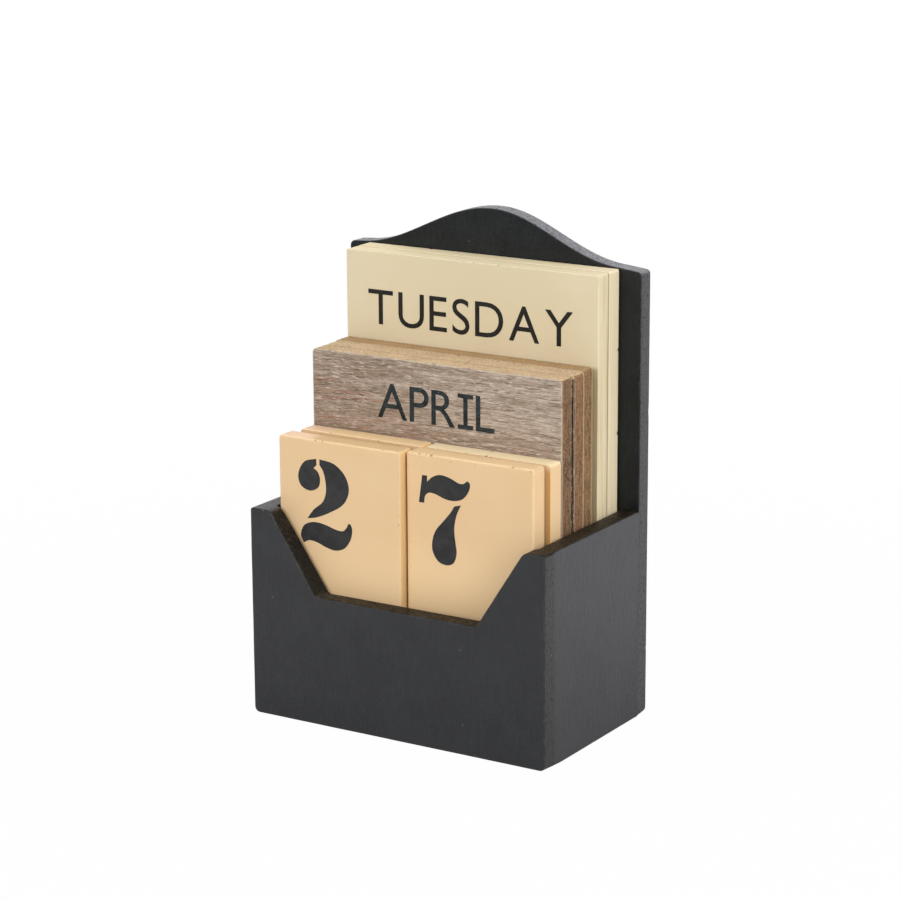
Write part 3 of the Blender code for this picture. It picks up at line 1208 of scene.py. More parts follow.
    def shell(
        self,
        sides: list[np.ndarray],
        places: list[tuple[int, int]],
        ring: np.ndarray,
        inward: np.ndarray,
        radii: list[np.ndarray],
    ) -> tuple[np.ndarray, np.ndarray, np.ndarray, np.ndarray, list[np.ndarray]]:
        """Front face, back face and the rings between them.

        Args:
            sides: Eased points of the front and of the back face, by column and row.
            places: Column and row of each boundary point.
            ring: Boundary points before easing.
            inward: Inward normals of the boundary.
            radii: Edge radius at each boundary point, front and back.

        Returns:
            Vertices, normals, rim values, the index of the front face's points, and the index of
            each ring.
        """
        columns, rows = sides[0].shape[:2]
        count = columns * rows
        front = np.column_stack([sides[0].reshape(-1, 2), np.zeros(count)])
        back = np.column_stack([sides[1].reshape(-1, 2), np.full(count, self.thickness)])
        vertices = [front, back]
        normals = [np.tile((0.0, 0.0, -1.0), (count, 1)), np.tile((0.0, 0.0, 1.0), (count, 1))]
        rims = [np.zeros(count), np.zeros(count)]
        index = np.arange(count).reshape(columns, rows)
        boundary = np.array([index[place] for place in places])
        levels = [boundary]
        start = 2 * count
        profile = []
        for step in range(1, self.arc_steps + 1):
            profile.append((math.pi / 2 * step / self.arc_steps, 0.0))
        for step in range(1, self.strip_steps + 1):
            profile.append((math.pi / 2, step / self.strip_steps))
        for step in range(self.arc_steps - 1, 0, -1):
            profile.append((math.pi / 2 * step / self.arc_steps, 1.0))
        for angle, share in profile:
            radius = radii[0] * (1 - share) + radii[1] * share
            spread = radius * (1 - math.sin(angle))
            front_depth = radii[0] * (1 - math.cos(angle))
            back_depth = self.thickness - radii[1] * (1 - math.cos(angle))
            depth = front_depth * (1 - share) + back_depth * share
            points = np.column_stack([ring + inward * spread[:, None], depth])
            facing = -math.cos(angle) * (1 - share) + math.cos(angle) * share
            sideways = -inward * math.sin(angle)
            vertices.append(points)
            normals.append(np.column_stack([sideways, np.full(len(ring), facing)]))
            rims.append(np.full(len(ring), math.sin(angle) ** 2))
            levels.append(np.arange(start, start + len(ring)))
            start += len(ring)
        levels.append(boundary + count)
        return np.vstack(vertices), np.vstack(normals), np.concatenate(rims), index, levels

    def edge_distance(self, vertices: np.ndarray, ring: np.ndarray, rims: np.ndarray) -> np.ndarray:
        """Distance in millimetres from each vertex to the nearest open edge of the board.

        Args:
            vertices: All vertices, before wear.
            ring: Boundary points.
            rims: Rim value of each vertex.

        Returns:
            The distances.
        """
        far = 50 * MM
        ends = np.roll(ring, -1, axis=0)
        runs = ends - ring
        squares = np.maximum((runs**2).sum(axis=1), 1e-18)
        is_open = []
        for side in (0, 1):
            is_open.append(np.array([not self.is_glued(point, side) for point in (ring + ends) / 2]))
        first_ring = int(np.argmax(rims > 0))
        distances = np.full(len(vertices), far)
        for number, (point, rim) in enumerate(zip(vertices, rims)):
            gaps = (point[2], self.thickness - point[2])
            if rim > 0:
                place = (number - first_ring) % len(ring)
                for side in (0, 1):
                    if is_open[side][place]:
                        distances[number] = min(distances[number], gaps[side] - self.edge_radii[side])
                continue
            side = 0 if gaps[0] < gaps[1] else 1
            offset = point[:2] - ring
            share = np.clip((offset * runs).sum(axis=1) / squares, 0, 1)
            lengths = np.linalg.norm(offset - runs * share[:, None], axis=1)[is_open[side]]
            if len(lengths):
                distances[number] = lengths.min() - self.edge_radii[side]
        return np.maximum(distances, 0) / MM

    def sway(self, vertices: np.ndarray, normals: np.ndarray) -> None:
        """Sink the faces a little here and there; boards that meet sink alike.

        Args:
            vertices: All vertices in the row frame, changed in place.
            normals: Their outward normals.
        """
        for vertex, normal in zip(vertices, normals):
            sink = self.wear.sway * (0.5 + 0.5 * noise.noise(Vector(vertex) * self.wear.sway_waves))
            vertex -= normal * sink

    def nicked(self, vertices: np.ndarray) -> tuple[np.ndarray, np.ndarray]:
        """Vertices with the dents pressed in.

        Args:
            vertices: All vertices.

        Returns:
            The moved vertices, and how far each is in a dent, from 0 to 1.
        """
        top_band = 3.0 * MM
        top_pull = 2.0 * MM
        middle_x = np.mean([x for x, _ in self.low])
        top = max(z for _, z in self.high)
        moved = vertices.copy()
        dents = np.zeros(len(vertices))
        for nick in self.wear.nicks:
            spot = np.array([*nick.place, nick.through * self.thickness])
            gap = np.linalg.norm(vertices - spot, axis=1)
            share = np.clip(1 - (gap / nick.size) ** 2, 0, 1) ** 2
            dents = np.maximum(dents, share)
            inside = np.array([middle_x, spot[1], self.thickness / 2])
            if spot[1] > top - top_band:
                inside[:2] = (spot[0], spot[1] - top_pull)
            direction = inside - spot
            direction /= np.linalg.norm(direction)
            moved += share[:, None] * nick.depth * direction
        return moved, dents

    @staticmethod
    def faces(columns: int, rows: int, index: np.ndarray, levels: list[np.ndarray]) -> list[tuple[int, ...]]:
        """Four-sided faces of the shell.

        Args:
            columns: Number of columns.
            rows: Number of rows.
            index: Index of the front face's points.
            levels: Index of each ring, from the front face to the back.

        Returns:
            Vertex numbers of each face.
        """
        count = columns * rows
        made = []
        for column in range(columns - 1):
            for row in range(rows - 1):
                square = (
                    int(index[column, row]),
                    int(index[column, row + 1]),
                    int(index[column + 1, row + 1]),
                    int(index[column + 1, row]),
                )
                made.append(square)
                made.append(tuple(number + count for number in reversed(square)))
        for near, far in zip(levels, levels[1:]):
            for here in range(len(near)):
                after = (here + 1) % len(near)
                made.append((int(near[here]), int(near[after]), int(far[after]), int(far[here])))
        return made

    def to_object(
        self, vertices: np.ndarray, faces: list[tuple[int, ...]], layers: Mapping[str, np.ndarray]
    ) -> bpy.types.Object:
        """Mesh object with its point layers.

        Args:
            vertices: Vertices in the row frame.
            faces: Vertex numbers of each face.
            layers: Values at the vertices, by layer name.

        Returns:
            The new object.
        """
        mesh = bpy.data.meshes.new(self.name)
        mesh.from_pydata(vertices.tolist(), [], faces)
        for layer, values in layers.items():
            attribute = mesh.attributes.new(layer, "FLOAT", "POINT")
            attribute.data.foreach_set("value", values.astype(np.float32))
        piece = linked_object(self.name, mesh)
        mesh.shade_smooth()
        return piece


def rectangle(
    width: float, height: float, corner: float, spacing: float, close_up: Sequence[float] = ()
) -> tuple[list[Point], list[Point]]:
    """Lower and upper boundary of a board that is a rectangle with rounded corners.

    Args:
        width: Width, centred on 0.
        height: Height, from 0 up.
        corner: Radius of the corners.
        spacing: Longest chord along the boundary.
        close_up: Places across the board near which the chords are short.

    Returns:
        The lower and the upper boundary, from left to right.
    """
    half = width / 2
    margins = (0.3 * MM, 0.8 * MM, 1.6 * MM, 2.8 * MM)
    inner = half - corner
    stops = [-inner, *(-inner + m for m in margins), *(inner - m for m in reversed(margins)), inner]
    flat = divide([(x, 0.0) for x in stops], spacing, close_up)
    low = []
    high = []
    for step in range(4):
        turn = math.pi / 2 * step / 4
        x = -half + corner * (1 - math.cos(turn))
        low.append((x, corner * (1 - math.sin(turn))))
        high.append((x, height - corner * (1 - math.sin(turn))))
    low += [(x, 0.0) for x, _ in flat]
    high += [(x, height) for x, _ in flat]
    low += [(-x, z) for x, z in reversed(low[:4])]
    high += [(-x, z) for x, z in reversed(high[:4])]
    return low, high


def matching_foot(high: Sequence[Point], arc_points: int, radius: float) -> list[Point]:
    """Lower boundary that has a point for each point of a shaped upper boundary.

    Args:
        high: Upper boundary, from left to right.
        arc_points: Number of points before the upper boundary leaves its end arcs.
        radius: Radius of the two lower corners.

    Returns:
        The lower boundary.
    """
    half = -high[0][0]
    inner = half - radius
    first = high[arc_points][0]
    last = high[-1 - arc_points][0]
    low = []
    for step in range(arc_points):
        turn = math.pi / 2 * step / arc_points
        low.append((-half + radius * (1 - math.cos(turn)), radius * (1 - math.sin(turn))))
    for x, _ in high[arc_points : len(high) - arc_points]:
        low.append((-inner + (x - first) / (last - first) * 2 * inner, 0.0))
    low += [(-x, z) for x, z in reversed(low[:arc_points])]
    return low


def stand_for(piece: bpy.types.Object, node: str) -> None:
    """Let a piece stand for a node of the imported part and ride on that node's body.

    Args:
        piece: New piece, in place.
        node: Node that it stands for.
    """
    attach(piece, frame["nodes"][node]["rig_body"])
    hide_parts(node)
    log.info("%s stands for %s, %d faces", piece.name, node, len(piece.data.polygons))


def random_nicks(
    seed: int, count: int, half_width: float, height: float, size: tuple[float, float]
) -> tuple[Nick, ...]:
    """Small dents spread over the front and back edges of a board.

    Args:
        seed: Seed of the random draws.
        count: Number of dents.
        half_width: Half the board's width.
        height: The board's height.
        size: Least and greatest size of a dent.

    Returns:
        The dents.
    """
    back_share = 0.4
    top_share = 0.5
    depth_share = 0.3
    draw = random.Random(seed)
    made = []
    for _ in range(count):
        through = float(draw.random() < back_share)
        extent = draw.uniform(*size)
        if draw.random() < top_share:
            spot = (draw.uniform(-0.9, 0.9) * half_width, height)
        else:
            spot = (half_width * draw.choice((-1, 1)), draw.uniform(0.1, 0.95) * height)
        made.append(Nick(spot, through, extent, extent * depth_share))
    return tuple(made)


# Box


@dataclass
class PaintedBox:
    """The open box: notched front, bell-topped back, two sides and a floor."""

    paint: CharcoalPaint = CharcoalPaint()
    # The back panel's paint is a shaded and lit copy: its darker coat is painted shade inside the box, and
    # its pale cut edges and tops are painted sheen.
    back_paint_shade_and_sheen: CharcoalPaint = CharcoalPaint(
        coat=paint_code(21, 23, 24),
        thin_coat=paint_code(36, 39, 41),
        cut_coat_and_sheen=paint_code(77, 77, 80),
        top_coat_and_painted_light=paint_code(101, 101, 106),
        top_mottle_and_reflection=paint_code(169, 169, 175),
        dull_top=0.0,
        gloss=0.2,
    )
    # The side walls' paint is a lighter copy: painted light for their brighter lit faces.
    lit_side_paint: CharcoalPaint = CharcoalPaint(
        coat=paint_code(33, 32, 37),
        thin_coat=paint_code(49, 48, 53),
    )
    horn_width: float = 7.0 * MM
    slope_run: float = 15.5 * MM
    notch_depth: float = 24.0 * MM
    brow_radius: float = 3.0 * MM
    notch_radius: float = 1.5 * MM
    slant_run: float = 1.5 * MM
    foot_radius: float = 1.7 * MM
    side_foot_radius: float = 0.9 * MM
    top_radius: float = 0.8 * MM
    corner_steps: int = 4
    sway: float = 0.02 * MM
    easing: float = 0.4
    pattern_step: float = 3.7
    floor_pattern: float = 18.0
    floor_corner: float = 0.25 * MM
    front_foot_shares: Point = (1.0, 0.5)
    back_foot_shares: Point = (0.3, 0.9)
    shoulder_width: float = 3.4 * MM
    shoulder_height: float = 134.5 * MM
    shoulder_radius: float = 1.0 * MM
    left_shoulder_radius: float = 1.4 * MM
    shoulder_falls: Point = (0.35 * MM, 0.7 * MM)
    fall_widths: Point = (5.0 * MM, 7.0 * MM)
    fall_power: float = 1.5
    bell_steps: int = 56
    bell_right_power: float = 1.17
    edge_radius: float = 0.4 * MM
    joint_radius: float = 0.03 * MM
    joint_overlap: float = 0.12 * MM
    wall_thickness: float = 5.5 * MM
    wall_height: float = 63.2 * MM
    spacing: float = 2.5 * MM
    body: str = "box"

    def build(self) -> None:
        """Build all five panels."""
        self.front()
        self.back()
        self.side("left_side_panel", 3)
        self.side("right_side_panel", 4)
        self.floor()

    def shaped(
        self,
        node: str,
        high: list[Point],
        wear: Wear,
        glued: Glued,
        paint: CharcoalPaint,
        foot_shares: tuple[float, float],
        slant: Union[Slant, None] = None,
    ) -> None:
        """Panel with a shaped upper boundary.

        Args:
            node: Node that the panel stands for.
            high: Upper boundary, from left to right.
            wear: Wear of the panel.
            glued: Edges that the side walls are glued to.
            paint: Its paint.
            foot_shares: Radius of its lower corners at the front and the back, as shares.
            slant: Cut that is off square, if it has one.
        """
        low_corner, high_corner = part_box(node)
        low = matching_foot(high, self.corner_steps, self.foot_radius)
        heights = tuple(nick.place[1] for nick in wear.nicks)
        board = Board(
            f"painted_{node}",
            low,
            high,
            high_corner.y - low_corner.y,
            (self.edge_radius, self.edge_radius),
            wear,
            self.spacing,
            row_close_up=heights,
            glued=glued,
            foot=Foot(self.foot_radius, foot_shares),
            slant=slant,
        )
        piece = board.make(Plane.FRONTAL, Vector((0, low_corner.y, low_corner.z)))
        paint.give_to(piece, wear.seed * self.pattern_step)
        stand_for(piece, node)

    def front(self) -> None:
        """Front wall, low in the middle so that the date tiles show."""
        high_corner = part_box("front_panel")[1]
        side_x = high_corner.x
        top = high_corner.z
        brow_x = side_x - self.horn_width
        floor_x = brow_x - self.slope_run
        floor_z = top - self.notch_depth
        turns = [
            (-side_x, top, self.top_radius, self.corner_steps),
            (-brow_x, top, self.brow_radius, 6),
            (-floor_x, floor_z, self.notch_radius, 5),
            (floor_x, floor_z, self.notch_radius, 5),
            (brow_x, top, self.brow_radius, 6),
            (side_x, top, self.top_radius, self.corner_steps),
        ]
        path = [Vector((-side_x, 0)), *(Vector(turn[:2]) for turn in turns), Vector((side_x, 0))]
        nicks = (
            Nick((side_x, 40 * MM), 0.0, 0.7 * MM, 0.1 * MM),
            Nick((side_x, 14 * MM), 0.0, 0.9 * MM, 0.12 * MM),
            Nick((-20 * MM, floor_z), 0.0, 0.8 * MM, 0.2 * MM),
            Nick((12 * MM, floor_z), 0.0, 0.6 * MM, 0.15 * MM),
        )
        line = []
        for number, (_, _, radius, steps) in enumerate(turns, start=1):
            line += fillet(path[number - 1], path[number], path[number + 1], radius, steps)
        high = divide(line, self.spacing, [nick.place[0] for nick in nicks[2:]])
        glued = Glued((1,), self.wall_thickness, top + self.top_radius)
        wear = Wear(self.sway, self.easing, nicks, 1)
        slant = Slant((-brow_x, top), (-floor_x, floor_z), self.slant_run)
        self.shaped("front_panel", high, wear, glued, self.paint, self.front_foot_shares, slant)

    def back(self) -> None:
        """Back wall with its bell-shaped top."""
        high_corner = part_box("back_panel")[1]
        side_x = high_corner.x
        half = side_x - self.shoulder_width
        rise = high_corner.z - self.shoulder_height
        level = Vector((0, self.shoulder_height))
        left = (Vector((-side_x, 0)), Vector((-side_x, self.shoulder_height)), level)
        right = (level, Vector((side_x, self.shoulder_height)), Vector((side_x, 0)))
        line = fillet(*left, self.left_shoulder_radius, self.corner_steps)
        for step in range(self.bell_steps + 1):
            turn = math.pi * (2 * step / self.bell_steps - 1)
            power = self.bell_right_power if turn > 0 else 1
            height = rise * ((1 + math.cos(turn)) / 2) ** power
            line.append((half * turn / math.pi, self.shoulder_height + height))
        line += fillet(*right, self.shoulder_radius, self.corner_steps)
        nicks = (
            Nick((side_x, 118 * MM), 0.0, 0.8 * MM, 0.2 * MM),
            Nick((side_x, 92 * MM), 1.0, 1.0 * MM, 0.1 * MM),
            Nick((side_x, 71 * MM), 0.0, 0.7 * MM, 0.2 * MM),
            Nick((side_x, 20 * MM), 1.0, 0.9 * MM, 0.08 * MM),
        )
        left_fall, right_fall = self.shoulder_falls
        left_width, right_width = self.fall_widths
        stops = [left_width / 2 - side_x, side_x - right_width / 2]
        high = []
        for x, z in divide(line, self.spacing, stops):
            left_share = max(1 - (side_x + x) / left_width, 0.0) ** self.fall_power
            right_share = max(1 - (side_x - x) / right_width, 0.0) ** self.fall_power
            high.append((x, z - (left_fall * left_share + right_fall * right_share)))
        glued = Glued((0,), self.wall_thickness, self.wall_height)
        wear = Wear(self.sway, self.easing, nicks, 2)
        self.shaped("back_panel", high, wear, glued, self.back_paint_shade_and_sheen, self.back_foot_shares)

    def side(self, node: str, seed: int) -> None:
        """Side wall, glued between the front and the back.

        Args:
            node: Node that the wall stands for.
            seed: Seed of its wear.
        """
        low_corner, high_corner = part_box(node)
        front_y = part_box("front_panel")[1].y - self.joint_overlap
        back_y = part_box("back_panel")[0].y + self.joint_overlap
        depth = back_y - front_y
        height = high_corner.z - low_corner.z
        low, high = rectangle(depth, height, self.joint_radius, self.spacing)
        wear = Wear(self.sway, self.easing, (), seed)
        radii = (self.edge_radius, self.edge_radius)
        outer = Outer(int(low_corner.x > 0), self.side_foot_radius, self.top_radius)
        board = Board(
            f"painted_{node}",
            low,
            high,
            high_corner.x - low_corner.x,
            radii,
            wear,
            self.spacing,
            glued=Glued((0, 1), self.spacing / 4, at_foot=False),
            outer=outer,
        )
        corner = Vector((low_corner.x, (front_y + back_y) / 2, low_corner.z))
        piece = board.make(Plane.SIDEWAYS, corner)
        self.lit_side_paint.give_to(piece, seed * self.pattern_step)
        stand_for(piece, node)

    def floor(self) -> None:
        """Floor let in between the four walls."""
        low_corner, high_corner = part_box("floor_panel")
        size = high_corner - low_corner
        low, high = rectangle(size.x, size.y, self.floor_corner, self.spacing)
        wear = Wear(self.sway, self.easing, (), 5)
        radii = (self.joint_radius, self.joint_radius)
        board = Board("painted_floor_panel", low, high, size.z, radii, wear, self.spacing)
        piece = board.make(Plane.LEVEL, Vector((0, low_corner.y, low_corner.z)))
        self.paint.give_to(piece, self.floor_pattern)
        stand_for(piece, "floor_panel")


# Printing

GLYPH_HEIGHT = 27.8

# Each digit is a set of closed lines drawn in millimetres on a body 27.8 high, x to the right and
# y down from its top; a star marks a sharp corner, and the line runs smoothly through the others.
STENCIL_DIGITS = {
    "0": (
        "8.6,0.1* 3.9,2.2 0.9,7.4 0,13.9 0.9,20.4 3.9,25.6 8.6,27.7* 8.6,25.6* 6.7,21.4 6,13.9"
        " 6.7,6.4 8.6,2.2*",
        "9.9,0.1* 14.6,2.2 17.6,7.4 18.5,13.9 17.6,20.4 14.6,25.6 9.9,27.7* 9.9,25.6* 11.8,21.4 12.5,13.9"
        " 11.8,6.4 9.9,2.2*",
    ),
    "1": (
        "2.6,4.9* 5.8,3.6 8.2,0* 12,0* 12,23* 6.2,23* 6.2,6.9* 2.6,6.9*",
        "2.4,24.4* 6,24.9 12.2,24.9 15.8,24.4* 15.8,27.8* 2.4,27.8*",
    ),
    "2": (
        "6.6,0.1* 2.3,1.5 0,5.6 0.9,9 4.2,10.3 7.3,8.8 7.9,6 7,4 5.6,3.1* 6.7,2*",
        "7.8,0.1* 13,0.9 16.9,4 18.3,8.4 16.3,12.9 10.9,16.4 6.3,18.4 3.1,19.1* 5.5,16 8.8,13.2 10,9.9"
        " 9.8,6.2 9,3.5 7.8,1.9*",
        "1.6,26.9* 0.6,24.6 1.7,21.6 4.2,20.2 7,19.9 10.2,20.4 13.6,21.3 16,21.3 17.3,20.1 18,18.8 18.8,19"
        " 19.3,20.8 18.6,23.8 16.4,26.7 13.2,27.8 9.8,27.3 6.6,26.2 3.7,25.9",
    ),
    "3": (
        "7.6,0.1* 12.8,0.9 16.6,4.2 16.6,8.4 14,11.8 10.2,13.1* 8.3,12.6* 10.3,9.9 10.8,6.6 9.8,3.5 7.6,1.9*",
        "10.4,14.3* 15.4,15.6 18.4,19.6 17.4,24.4 13.2,27.2 7.6,27.7* 7.6,26* 10.9,24.2 12,20.6 10.9,16.9"
        " 8.3,14.8*",
        "6.4,0.2* 2.4,1.9 0.6,5.1 1.4,8 4,9 6.6,7.7 7,5 5.4,3.2* 6.4,2*",
        "6.4,27.6* 2.1,26 0,22.4 0.9,19.2 3.8,18 6.7,19.4 7.2,22.6 5.4,24.9* 6.4,25.9*",
    ),
    "4": (
        "8.9,0* 8.9,18.6* 0,18.6* 0,16.8*",
        "7.3,6.6* 7.3,15.9* 2.7,15.9*",
        "10.1,0* 14.9,0* 14.9,15.9* 18.3,15.9* 18.3,18.6* 14.9,18.6* 14.9,24.4* 17.3,25.2* 17.3,27.8*"
        " 7.7,27.8* 7.7,25.2* 10.1,24.4*",
    ),
    "5": (
        "2.1,0.4* 6.6,1.7 11.4,1.6 16.2,0* 16.9,3.3 14.2,6.3 8.6,6.7 4.1,5.4* 3.8,11.8* 2.1,12.6*",
        "7.6,9.8* 13.4,10.2 18,14.2 18.2,20.2 14.2,25.9 7.6,27.7* 7.6,26* 10.9,23.5 11.9,18.9 10.9,14.2"
        " 7.6,11.6*",
        "6.4,27.6* 2.1,26 0,22.4 0.9,19.2 3.8,18 6.7,19.4 7.2,22.6 5.4,24.9* 6.4,25.9*",
    ),
    "6": (
        "11.6,0.4* 5.4,3.2 1,9.2 0,16 1.9,23.4 8.6,27.7* 8.6,26* 6.5,22.4 6,16.4 7.2,9.2 11.8,2.5*",
        "9.8,27.7* 15.8,25.7 18.6,19.6 17.2,13.6 13.2,11 9.8,11.8* 9.8,13.7* 11.8,15.4 12.7,19.4 11.8,24.1"
        " 9.8,26*",
        "12.9,0.6* 16.1,1.8 17.7,4.7 16.7,7.5 14.2,8.1 12.3,6.4 12.6,3.9 13.7,2.7*",
    ),
    "7": (
        "1.2,0.8* 2.9,0.8* 2.9,2.6* 4.7,1 7.3,0 10.8,0.5 13.9,1.7 15.5,1.6 16.8,0.7 17.7,1.4 17.3,3.6"
        " 15.3,6.2 12.5,7.2 9.2,7.1 5.6,6 3.6,5.9 2.2,7 1.8,9.2* 0,9.2*",
        "12.3,8.9* 14.6,8.2* 13.1,11.4 12.3,15 12.3,17.4 12.7,20.4 13,23.2 12,26.2 9.6,27.3 6.6,26.5"
        " 4.7,23.6 4.6,20.6 5.7,17.3 8.5,13.9 10.8,11.2",
    ),
    "8": (
        "8.7,0.1* 4,1.5 1.4,5.6 2.9,10.2 7.2,13.2* 8.7,12.2* 7,9.4 6.4,5.8 7.2,3.1 8.7,1.9*",
        "9.9,0.1* 14.5,1.5 16.9,5.4 15.6,9.3 11.6,12.3* 9.9,11.3* 11.4,8.8 12,5.6 11.3,3 9.9,1.9*",
        "7,14.4* 2.2,16.6 0,20.6 1.7,25.3 8.7,27.7* 8.7,26* 6.6,23.8 5.8,20.2 6.6,17 8.4,15.2*",
        "10,13.6* 15.4,15.6 18.4,19.7 17,25.1 9.9,27.7* 9.9,26* 12,24 12.8,20.5 11.6,17.2 9.4,15.1*",
    ),
}


def read_marks(line: str) -> list[tuple[float, float, bool]]:
    """Marks of a closed line of a digit.

    Args:
        line: The marks.

    Returns:
        X, y and whether the corner is sharp, for each mark.
    """
    marks = []
    for mark in line.split():
        x, y = mark.rstrip("*").split(",")
        marks.append((float(x), float(y), mark.endswith("*")))
    return marks


def turned_over(lines: tuple[str, ...], width: float) -> tuple[str, ...]:
    """Closed lines of a digit turned half round.

    Args:
        lines: Lines of the digit.
        width: Width of the digit.

    Returns:
        The turned lines.
    """
    made = []
    for line in lines:
        turned = []
        for x, y, is_sharp in read_marks(line):
            star = "*" if is_sharp else ""
            turned.append(f"{width - x:g},{GLYPH_HEIGHT - y:g}{star}")
        made.append(" ".join(turned))
    return tuple(made)


STENCIL_DIGITS["9"] = turned_over(STENCIL_DIGITS["6"], 18.6)


def smooth_line(line: str, steps: int = 7) -> list[Point]:
    """Points of a closed line that runs smoothly through its marks and turns at the starred ones.

    Args:
        line: The marks.
        steps: Number of chords from one mark to the next.

    Returns:
        Points in millimetres, y up.
    """
    marks = [(Vector((x, -y)), is_sharp) for x, y, is_sharp in read_marks(line)]
    count = len(marks)
    points = []
    for number in range(count):
        (start, sharp_start), (end, sharp_end) = marks[number], marks[(number + 1) % count]
        if sharp_start and sharp_end:
            points.append(tuple(start))
            continue
        before = marks[number - 1][0]
        after = marks[(number + 2) % count][0]
        run = (end - start).length
        leave = (end - start) if sharp_start else (end - before) * run / ((start - before).length + run)
        arrive = (end - start) if sharp_end else (after - start) * run / ((after - end).length + run)
        for step in range(steps):
            t = step / steps
            square = t * t
            cube = square * t
            place = start * (2 * cube - 3 * square + 1) + leave * (cube - 2 * square + t)
            place = place + end * (3 * square - 2 * cube) + arrive * (cube - square)
            points.append(tuple(place))
    return points


def joined(solids: Sequence[Solid]) -> Solid:
    """One solid of several.

    Args:
        solids: Vertices and faces of each.

    Returns:
        Vertices and faces of all.
    """
    faces = []
    count = 0
    for points, sides in solids:
        faces += [tuple(number + count for number in side) for side in sides]
        count += len(points)
    return np.vstack([points for points, _ in solids]), faces


@dataclass(frozen=True)
class Press:
    """Makes prints: thin closed solids that stand a hair proud of the face of a board."""

    film: float = 0.025 * MM
    cap_share: float = 0.682
    bar_letter: str = "I"
    bar_half: float = 0.17
    bar_thick: float = 0.085
    stem_half: float = 0.047

    @staticmethod
    def filled(curve: bpy.types.Curve) -> Solid:
        """Vertices and faces of a curve, which is then removed.

        Args:
            curve: Curve or text to convert.

        Returns:
            Vertices and faces.
        """
        guide = bpy.data.objects.new("printing_guide", curve)
        bpy.context.scene.collection.objects.link(guide)
        bpy.context.view_layer.update()
        evaluated = guide.evaluated_get(bpy.context.evaluated_depsgraph_get())
        mesh = bpy.data.meshes.new_from_object(evaluated)
        bpy.data.objects.remove(guide, do_unlink=True)
        model = bmesh.new()
        model.from_mesh(mesh)
        bmesh.ops.remove_doubles(model, verts=model.verts, dist=1e-5)
        model.to_mesh(mesh)
        model.free()
        vertices = np.array([vertex.co for vertex in mesh.vertices])
        faces = [tuple(polygon.vertices) for polygon in mesh.polygons]
        bpy.data.meshes.remove(mesh)
        return vertices, faces

    def drawn(self, lines: Sequence[Sequence[Point]], thickness: float) -> Solid:
        """Solid with closed outlines.

        Args:
            lines: Closed outlines.
            thickness: Thickness of the solid.

        Returns:
            Vertices and faces.
        """
        curve = bpy.data.curves.new("outline", "CURVE")
        curve.dimensions = "2D"
        curve.fill_mode = "BOTH"
        curve.extrude = thickness / 2
        for line in lines:
            spline = curve.splines.new("POLY")
            spline.points.add(len(line) - 1)
            for place, (x, y) in zip(spline.points, line):
                place.co = (x, y, 0, 1)
            spline.use_cyclic_u = True
        return self.filled(curve)

    def letter(self, sign: str, thickness: float) -> Solid:
        """Solid of one capital, one unit being the size of the type.

        Args:
            sign: The capital.
            thickness: Thickness of the solid.

        Returns:
            Vertices and faces.
        """
        if sign == self.bar_letter:
            top = self.cap_share
            right = [
                (self.bar_half, 0),
                (self.bar_half, self.bar_thick),
                (self.stem_half, self.bar_thick),
                (self.stem_half, top - self.bar_thick),
                (self.bar_half, top - self.bar_thick),
                (self.bar_half, top),
            ]
            outline = right + [(-x, y) for x, y in reversed(right)]
            return self.drawn([outline], thickness)
        text = bpy.data.curves.new("letter", "FONT")
        text.body = sign
        text.extrude = thickness / 2
        text.resolution_u = 6
        return self.filled(text)

    def word(self, text: str, cap_height: float, tracking: float) -> Solid:
        """Solid of a word in capitals, centred across and standing on its baseline.

        Args:
            text: The word.
            cap_height: Height of its capitals.
            tracking: Space between one letter and the next.

        Returns:
            Vertices and faces.
        """
        size = cap_height / self.cap_share
        letters = []
        pen = 0.0
        for sign in text:
            points, sides = self.letter(sign, 2 * self.film / size)
            points *= size
            points[:, 0] += pen - points[:, 0].min()
            pen = points[:, 0].max() + tracking
            letters.append((points, sides))
        points, faces = joined(letters)
        points[:, 0] -= (pen - tracking) / 2
        return points, faces

    def digit(self, sign: str, height: float) -> Solid:
        """Solid of one stencil digit, its lower left corner at zero.

        Args:
            sign: The digit.
            height: Its height.

        Returns:
            Vertices and faces.
        """
        scale = height / GLYPH_HEIGHT
        lines = []
        for line in STENCIL_DIGITS[sign]:
            lines.append([(x * scale, y * scale + height) for x, y in smooth_line(line)])
        return self.drawn(lines, 2 * self.film)

    @staticmethod
    def to_object(name: str, prints: Sequence[Solid]) -> bpy.types.Object:
        """One object of several prints.

        Args:
            name: Name of the object.
            prints: Vertices in the row frame and faces of each print.

        Returns:
            The new object.
        """
        vertices, faces = joined(prints)
        mesh = bpy.data.meshes.new(name)
        mesh.from_pydata(vertices.tolist(), [], faces)
        return linked_object(name, mesh)


class Spot(Enum):
    """Where a print stands on a board: which face, and which end is up."""

    FRONT_UP = (-1, 1)
    FRONT_DOWN = (-1, -1)
    BACK_UP = (1, 1)
    BACK_DOWN = (1, -1)


def on_board(points: np.ndarray, spot: Spot, low: Vector, high: Vector, offset: Point) -> np.ndarray:
    """Place a print on a face of a board.

    Args:
        points: Vertices of the print, across, up and through.
        spot: Face and end of the board.
        low: Lowest corner of the board.
        high: Highest corner of the board.
        offset: Place of the print's zero from the middle of the board, across and up.

    Returns:
        Vertices in the row frame.
    """
    facing, upright = spot.value
    across = (points[:, 0] + offset[0]) * upright
    up = (points[:, 1] + offset[1]) * upright
    middle = (low + high) / 2
    face_y = low.y if facing < 0 else high.y
    made = np.zeros_like(points)
    made[:, 0] = middle.x - facing * across
    made[:, 2] = middle.z + up
    made[:, 1] = face_y - points[:, 2] * facing
    return made


# Boards that stand in the box


